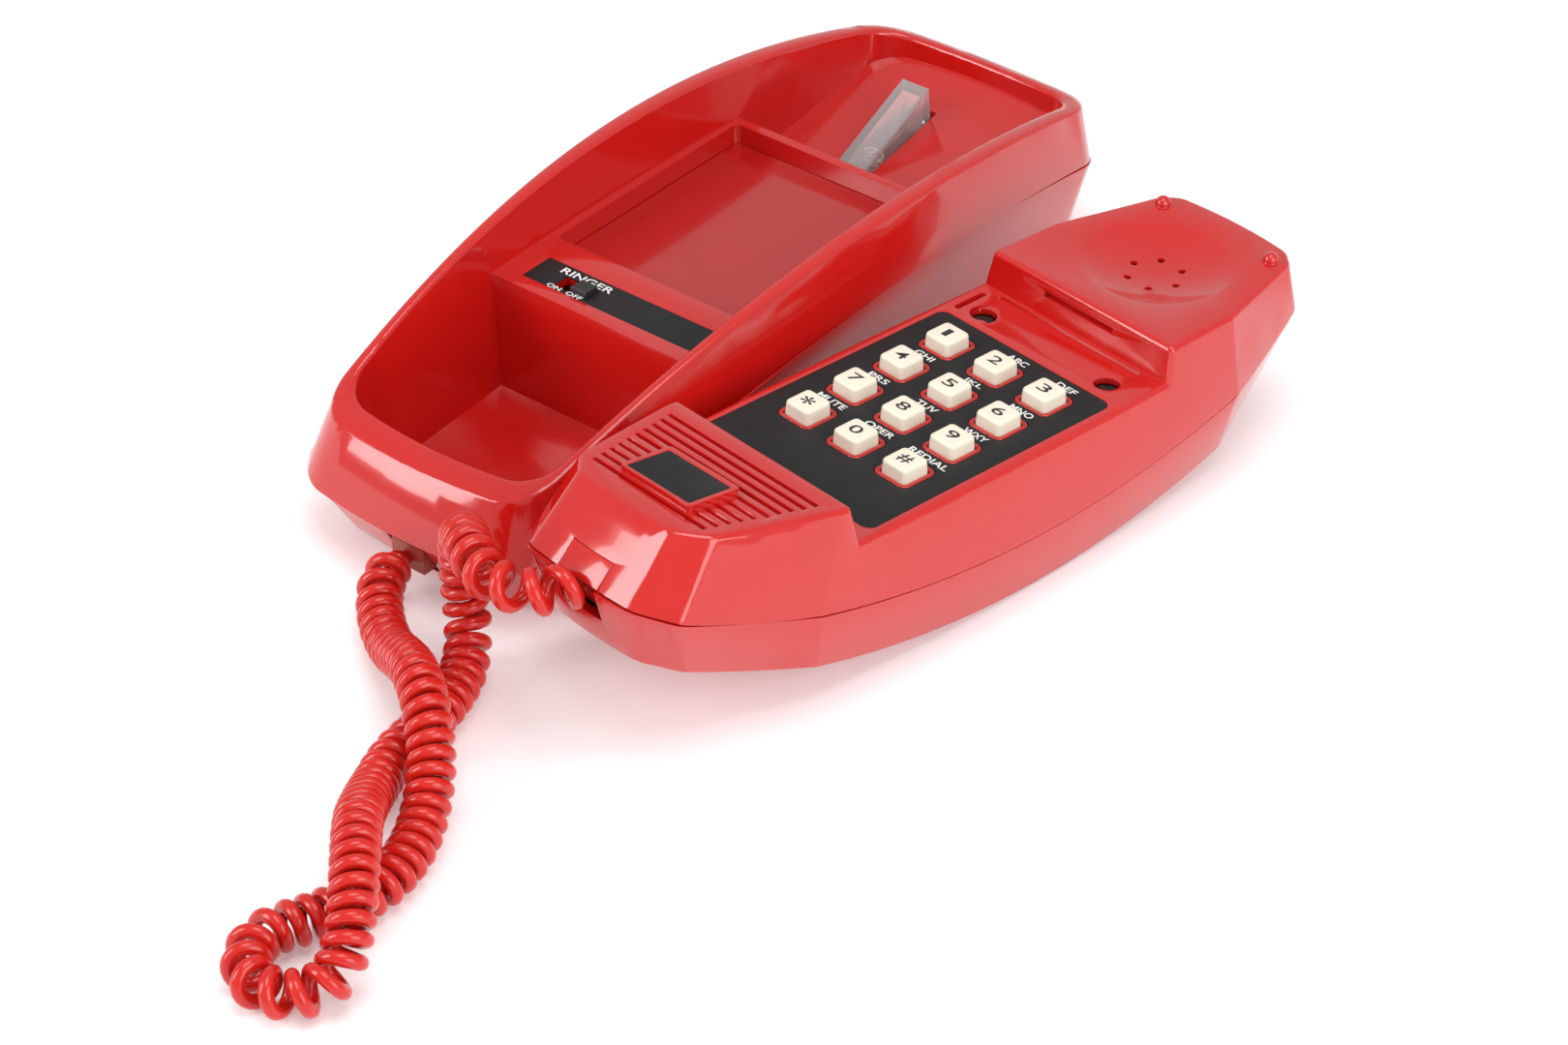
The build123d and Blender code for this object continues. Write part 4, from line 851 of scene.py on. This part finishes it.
@dataclass
class Keypad:
    """Twelve keys in their red surrounds, with digits on them and letters beside them."""

    pitch: tuple[float, float] = (15.0 * MM, 14.25 * MM)
    width: float = 7.9 * MM
    top_width: float = 7.35 * MM
    top: float = 3.2 * MM
    foot: float = -2.6 * MM
    collar: float = 10.1 * MM
    legend_rise: float = 7.25 * MM
    legend_height: float = 1.95 * MM
    print_lift: float = 0.01 * MM
    names: tuple[str, ...] = ("1", "2", "3", "4", "5", "6", "7", "8", "9", "star", "0", "hash")
    signs: tuple[str, ...] = ("1", "2", "3", "4", "5", "6", "7", "8", "9", "*", "0", "#")
    legends: dict[str, tuple[str, float]] = field(
        default_factory=lambda: {
            "2": ("ABC", 5.9),
            "3": ("DEF", 5.7),
            "4": ("GHI", 5.4),
            "5": ("JKL", 5.4),
            "6": ("MNO", 6.6),
            "7": ("PRS", 5.8),
            "8": ("TUV", 6.0),
            "9": ("WXY", 6.7),
            "star": ("MUTE", 8.3),
            "0": ("OPER", 8.3),
            "hash": ("REDIAL", 11.4),
        }
    )

    def spot(self, number: int) -> tuple[float, float]:
        """Where a key is on the deck."""
        row, column = divmod(number, 3)
        return (column - 1) * self.pitch[0], (1.5 - row) * self.pitch[1]

    def cap(self) -> bpy.types.Object:
        """Models one key cap at the deck's middle.

        Returns:
            The cap.
        """
        height = self.top - self.foot
        middle = (0.0, 0.0, (self.top + self.foot) / 2)
        cap = block("key_cap_pattern", (self.width, self.width, height), middle)
        pick(cap, Grip.FACES, lambda spot, normal: normal.z > 0.9)
        share = self.top_width / self.width
        bpy.ops.transform.resize(value=(share, share, 1.0), center_override=(0.0, 0.0, self.top))
        leave()
        pick(cap, Grip.EDGES, lambda spot, along: abs(along.z) > 0.5)
        bpy.ops.mesh.bevel(offset=1.25 * MM, segments=6, affect="EDGES", clamp_overlap=False)
        leave()
        pick(cap, Grip.FACES, lambda spot, normal: normal.z > 0.9)
        bpy.ops.mesh.bevel(offset=0.75 * MM, segments=5, affect="EDGES", clamp_overlap=False)
        leave()
        smooth(cap, 50.0)
        return cap

    def surround(self) -> bpy.types.Object:
        """Models the raised red lip round one key.

        Returns:
            The lip.
        """
        size, middle = (self.collar, self.collar, 1.0 * MM), (0.0, 0.0, -0.38 * MM)
        lip = block("key_surround_pattern", size, middle)
        pick(lip, Grip.EDGES, lambda spot, along: abs(along.z) > 0.5)
        bpy.ops.mesh.bevel(offset=1.9 * MM, segments=6, affect="EDGES", clamp_overlap=False)
        leave()
        pick(lip, Grip.FACES, lambda spot, normal: abs(normal.z) > 0.9)
        bpy.ops.mesh.inset(thickness=(self.collar - self.width) / 2 - 0.1 * MM)
        bpy.ops.mesh.bridge_edge_loops()
        leave()
        pick(lip, Grip.FACES, lambda spot, normal: normal.z > 0.9)
        bpy.ops.mesh.bevel(offset=0.28 * MM, segments=3, affect="EDGES", clamp_overlap=False)
        leave()
        smooth(lip, 50.0)
        return lip

    def build(self) -> None:
        """Makes all the keys, lips and letters."""
        cap, lip = self.cap(), self.surround()
        for number, name in enumerate(self.names):
            x, y = self.spot(number)
            place = DECK @ Matrix.Translation((x, y, 0.0))
            key = twin(cap, f"key_cap_{name}", place)
            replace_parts(dress(key, KEY_IVORY, f"key_{name}_cap"), f"key_{name}")
            dress(twin(lip, f"key_surround_{name}", place), RED_SHELL, "handset")
            self.sign(number).build(DECK, f"key_{name}_cap", "key_ivory")
            if name in self.legends:
                words, length = self.legends[name]
                spot = (x, y + self.legend_rise)
                size = (self.legend_height, length * MM)
                label = f"legend_{words.lower()}"
                legend = Lettering(label, words, spot, *size, self.print_lift, INK_WHITE)
                legend.build(DECK, "handset", "black_overlay")
        discard(cap)
        discard(lip)

    def sign(self, number: int) -> Lettering:
        """The digit or sign printed on a key.

        Args:
            number: which key, from 0.

        Returns:
            The lettering.
        """
        sign = self.signs[number]
        width = {"1": 1.55, "*": 3.3, "#": 3.4}.get(sign, 3.05)
        height = {"*": 3.2, "#": 3.2}.get(sign, 2.95)
        x, y = self.spot(number)
        size = (height * MM, width * MM)
        top = self.top + self.print_lift
        name = f"key_sign_{self.names[number]}"
        return Lettering(name, sign, (x, y), *size, top, INK_BLACK, weight=0.008)


# ---------------------------------------------------------------- copies of moulded nodes


@dataclass
class Moulding:
    """A CAD node's shape, made whole and with its sharp edges eased."""

    node: str
    name: str
    body: str
    finish: Finish
    slot: str
    ease: float = 0.35 * MM
    segments: int = 3
    sharp: float = 28.0

    def build(self) -> bpy.types.Object:
        """Copies, merges and eases the node's mesh.

        Returns:
            The piece that stands for the node.
        """
        piece = twin(frame["nodes"][self.node], self.name, Matrix.Identity(4))
        piece.data.materials.clear()
        pick(piece, Grip.VERTICES, lambda spot, normal: True)
        bpy.ops.mesh.remove_doubles(threshold=2e-6)
        leave()
        if self.ease:
            apply_modifier(
                piece,
                "BEVEL",
                width=self.ease,
                segments=self.segments,
                limit_method="ANGLE",
                angle_limit=math.radians(self.sharp),
                use_clamp_overlap=True,
                miter_outer="MITER_ARC",
            )
        smooth(piece, 32.0)
        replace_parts(dress(piece, self.finish, self.body), self.node)
        return piece


# ---------------------------------------------------------------- small fittings


@dataclass
class HandsetFittings:
    """The round nubs on the ear cap, and the small door and inner wall at the cord's opening."""

    nub_x: float = 16.6 * MM
    nub_y: float = 93.2 * MM
    nub_radius: float = 1.85 * MM
    ear_top: float = 8.3 * MM
    door: Point = (12.2 * MM, 6.3 * MM, 1.4 * MM)
    door_middle: Point = (0.0, -98.6 * MM, 3.1 * MM)
    slope: float = math.radians(46.7)
    wall: Point = (12.2 * MM, 1.2 * MM, 12.8 * MM)
    wall_middle: Point = (0.0, -95.8 * MM, -1.05 * MM)
    wall_rim: float = 3.6 * MM

    def nubs(self) -> None:
        """Models one nub, a dome with a small foot, and copies it."""
        bpy.ops.mesh.primitive_uv_sphere_add(segments=32, ring_count=20, radius=self.nub_radius)
        nub = bpy.context.object
        pick(nub, Grip.VERTICES, lambda spot, normal: spot.z < -0.2 * self.nub_radius)
        waist = (0.0, 0.0, -0.2 * self.nub_radius)
        bpy.ops.transform.resize(value=(1.12, 1.12, 0.35), center_override=waist)
        leave()
        smooth(nub, 60.0)
        for side, name in ((-1, "left"), (1, "right")):
            spot = (side * self.nub_x, self.nub_y, self.ear_top + 0.35 * MM)
            place = DECK @ Matrix.Translation(spot)
            dress(twin(nub, f"ear_nub_{name}", place), RED_SHELL, "handset")
        discard(nub)

    def cord_door(self) -> None:
        """Models the door, level with the end's sloping face."""
        door = block("cord_door", self.door, (0.0, 0.0, -self.door[2] / 2))
        pick(door, Grip.FACES, lambda spot, normal: normal.z > 0.9)
        bpy.ops.mesh.bevel(offset=0.12 * MM, segments=3, affect="EDGES", clamp_overlap=False)
        leave()
        smooth(door)
        tilt = Matrix.Rotation(self.slope, 4, "X")
        door.data.transform(DECK @ Matrix.Translation(self.door_middle) @ tilt)
        dress(door, RED_SHELL, "handset")

    def cord_wall(self) -> None:
        """Models the wall across the inside of the opening, with a rounded hole for the wire."""
        wall = block("cord_exit_wall", self.wall, self.wall_middle)
        pick(wall, Grip.FACES, lambda spot, normal: abs(normal.y) > 0.9)
        bpy.ops.mesh.inset(thickness=self.wall_rim)
        bpy.ops.mesh.bridge_edge_loops()
        leave()
        reach = self.wall[0] / 2 - 0.5 * self.wall_rim
        pick(wall, Grip.EDGES, lambda spot, along: abs(along.y) > 0.5 and abs(spot.x) < reach)
        bpy.ops.mesh.bevel(offset=1.2 * MM, segments=5, affect="EDGES", clamp_overlap=False)
        leave()
        smooth(wall, 50.0)
        wall.data.transform(DECK)
        dress(wall, RED_SHELL, "handset")

    def build(self) -> None:
        """Makes the nubs, the door and the wall."""
        self.nubs()
        self.cord_door()
        self.cord_wall()


@dataclass
class ReturnSpring:
    """The spring under the hook lever, which in the real telephone shortens as the lever goes down;
    here it keeps one shape.
    """

    foot: Point = (-45.0 * MM, 75.4 * MM, 13.9 * MM)
    keep: float = 0.8

    def build(self) -> None:
        """Makes the spring from its node and gives it its own mesh."""
        moulding = Moulding("hook_return_spring", "lever_return_spring", "base", STEEL, "steel", 0.0)
        spring = moulding.build()
        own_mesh(spring)


# ---------------------------------------------------------------- studio


@dataclass
class Studio:
    """The pale floor, the soft lights and the camera."""

    camera_place: Point = (0.5078, -0.64404, 0.5763)
    camera_back: Point = (0.5074, -0.6288, 0.5892)
    lens: float = 100.0

    def camera(self) -> None:
        """Adds the camera."""
        data = bpy.data.cameras.new("studio_camera")
        data.lens, data.sensor_width = self.lens, 36.0
        data.clip_start, data.clip_end = 0.02, 20.0
        camera = bpy.data.objects.new("studio_camera", data)
        camera.location = self.camera_place
        camera.rotation_mode = "QUATERNION"
        camera.rotation_quaternion = (-Vector(self.camera_back)).to_track_quat("-Z", "Y")
        bpy.context.scene.collection.objects.link(camera)
        bpy.context.scene.camera = camera

    def floor(self) -> None:
        """Adds the plain pale floor."""
        bpy.ops.mesh.primitive_plane_add(size=8.0, location=(0.0, 0.0, -0.0003))
        floor = bpy.context.object
        floor.name = "studio_floor"
        pale = Finish("pale_floor", (0.90, 0.90, 0.91), 0.8, specular=0.1, mottle=0.01, relief=0.0)
        paper = pale.material()
        shader = paper.node_tree.nodes["Principled BSDF"]
        shader.inputs["Emission Color"].default_value = (1.0, 1.0, 1.0, 1.0)
        shader.inputs["Emission Strength"].default_value = 0.16
        floor.data.materials.append(paper)

    def light(
        self, name: str, place: Point, aim: Point, size: tuple[float, float], power: float
    ) -> None:
        """Adds one soft light.

        Args:
            name: its name.
            place: where it stands.
            aim: what it points at.
            size: its width and height.
            power: its power in watts.
        """
        data = bpy.data.lights.new(name, "AREA")
        data.shape = "RECTANGLE"
        data.size, data.size_y = size
        data.energy = power
        lamp = bpy.data.objects.new(name, data)
        lamp.location = place
        lamp.rotation_mode = "QUATERNION"
        lamp.rotation_quaternion = (Vector(aim) - Vector(place)).to_track_quat("-Z", "Y")
        bpy.context.scene.collection.objects.link(lamp)

    def build(self) -> None:
        """Sets the whole studio up."""
        self.camera()
        self.floor()
        middle = (0.0, 0.0, 0.03)
        self.light("top_light", (0.25, -0.1, 1.5), middle, (0.9, 0.9), 9.0)
        self.light("right_light", (1.15, -0.25, 0.55), middle, (0.8, 0.9), 8.0)
        self.light("left_light", (-0.75, -1.05, 0.65), middle, (0.45, 0.9), 9.0)
        world = bpy.data.worlds.new("studio_world")
        world.use_nodes = True
        world.node_tree.nodes["Background"].inputs["Color"].default_value = (1.0, 0.985, 0.975, 1.0)
        world.node_tree.nodes["Background"].inputs["Strength"].default_value = 0.62
        bpy.context.scene.world = world
        bpy.context.scene.view_settings.view_transform = "Standard"


# ---------------------------------------------------------------- the telephone


NODE_FINISHES: dict[str, Finish] = {
    "hook_lever": CLEAR,
    "ringer_switch_body": RED_SWITCH,
    "ringer_switch_knob": SWITCH_BLACK,
    "hook_lever_pin": STEEL,
    "base_circuit_board": BOARD,
    "keypad_circuit_board": BOARD,
    "hook_switch_body": SWITCH_BLACK,
    "board_components": PARTS,
    "board_screws": STEEL,
    "base_screws": STEEL,
    "keypad_screws": STEEL,
    # The handset's screws carry the painted shade of their pits.
    "handset_screws": PIT_SHADE_SCREW_STEEL,
    "base_feet": RUBBER,
    "ballast_plate": CAST,
    "handset_weight": CAST,
    "ringer_sounder": SWITCH_BLACK,
    "line_jack": NYLON,
    "base_cord_jack": SWITCH_BLACK,
    "handset_cord_jack": NYLON,
    "base_cord_plug": PLUG,
    "handset_cord_plug": PLUG,
    "keypad_membrane": SILICONE,
    "receiver_gasket": SILICONE,
    "microphone_grommet": SILICONE,
    "receiver_capsule": CAN,
    "microphone_capsule": CAN,
}

MOULDINGS: tuple[Moulding, ...] = (
    Moulding("base_upper_housing", "base_upper_shell", "base", RED_SHELL, "red_shell"),
    Moulding("base_lower_housing", "base_lower_shell", "base", RED_SHELL, "red_shell"),
    Moulding("handset_front_housing", "handset_front_shell", "handset", RED_SHELL, "red_shell"),
    Moulding("handset_back_housing", "handset_back_shell", "handset", RED_SHELL, "red_shell"),
    Moulding(
        "keypad_overlay", "keypad_overlay_sheet", "handset", OVERLAY_BLACK, "black_overlay", 0.08 * MM
    ),
    Moulding("card_panel", "card_panel_sheet", "base", RED_TRAY, "red_card_panel", 0.0),
    Moulding("ringer_label_strip", "ringer_label", "base", LABEL_BLACK, "black_label", 0.05 * MM),
    Moulding("badge_plate", "badge_plate_face", "handset", OVERLAY_BLACK, "black_overlay", 0.12 * MM),
)


LABEL_TOP = 36.01 * MM
RINGER_SPOT = (-12.7 * MM, -30.1 * MM)
ON_OFF_SPOT = (-13.9 * MM, -36.8 * MM)
LABEL_WORDS: tuple[Lettering, ...] = (
    Lettering("label_ringer", "RINGER", RINGER_SPOT, 2.3 * MM, 15.0 * MM, LABEL_TOP, INK_WHITE),
    Lettering("label_on", "ON  OFF", ON_OFF_SPOT, 1.4 * MM, 10.2 * MM, LABEL_TOP, INK_WHITE),
)


def dress_nodes() -> None:
    """Gives every CAD node that stays its own material."""
    for node, finish in NODE_FINISHES.items():
        obj = frame["nodes"][node]
        for material_slot in obj.material_slots:
            material_slot.material = finish.material()
        log.info("%s: %s", node, finish.name)


def main() -> None:
    """Builds the telephone and its studio, in order."""
    Studio().build()
    CurlyCord().build()
    for moulding in MOULDINGS:
        moulding.build()
    Keypad().build()
    HandsetFittings().build()
    ReturnSpring().build()
    for lettering in LABEL_WORDS:
        lettering.build(BASE, "base", "black_label")
    dress_nodes()


if __name__ == "__main__":
    main()
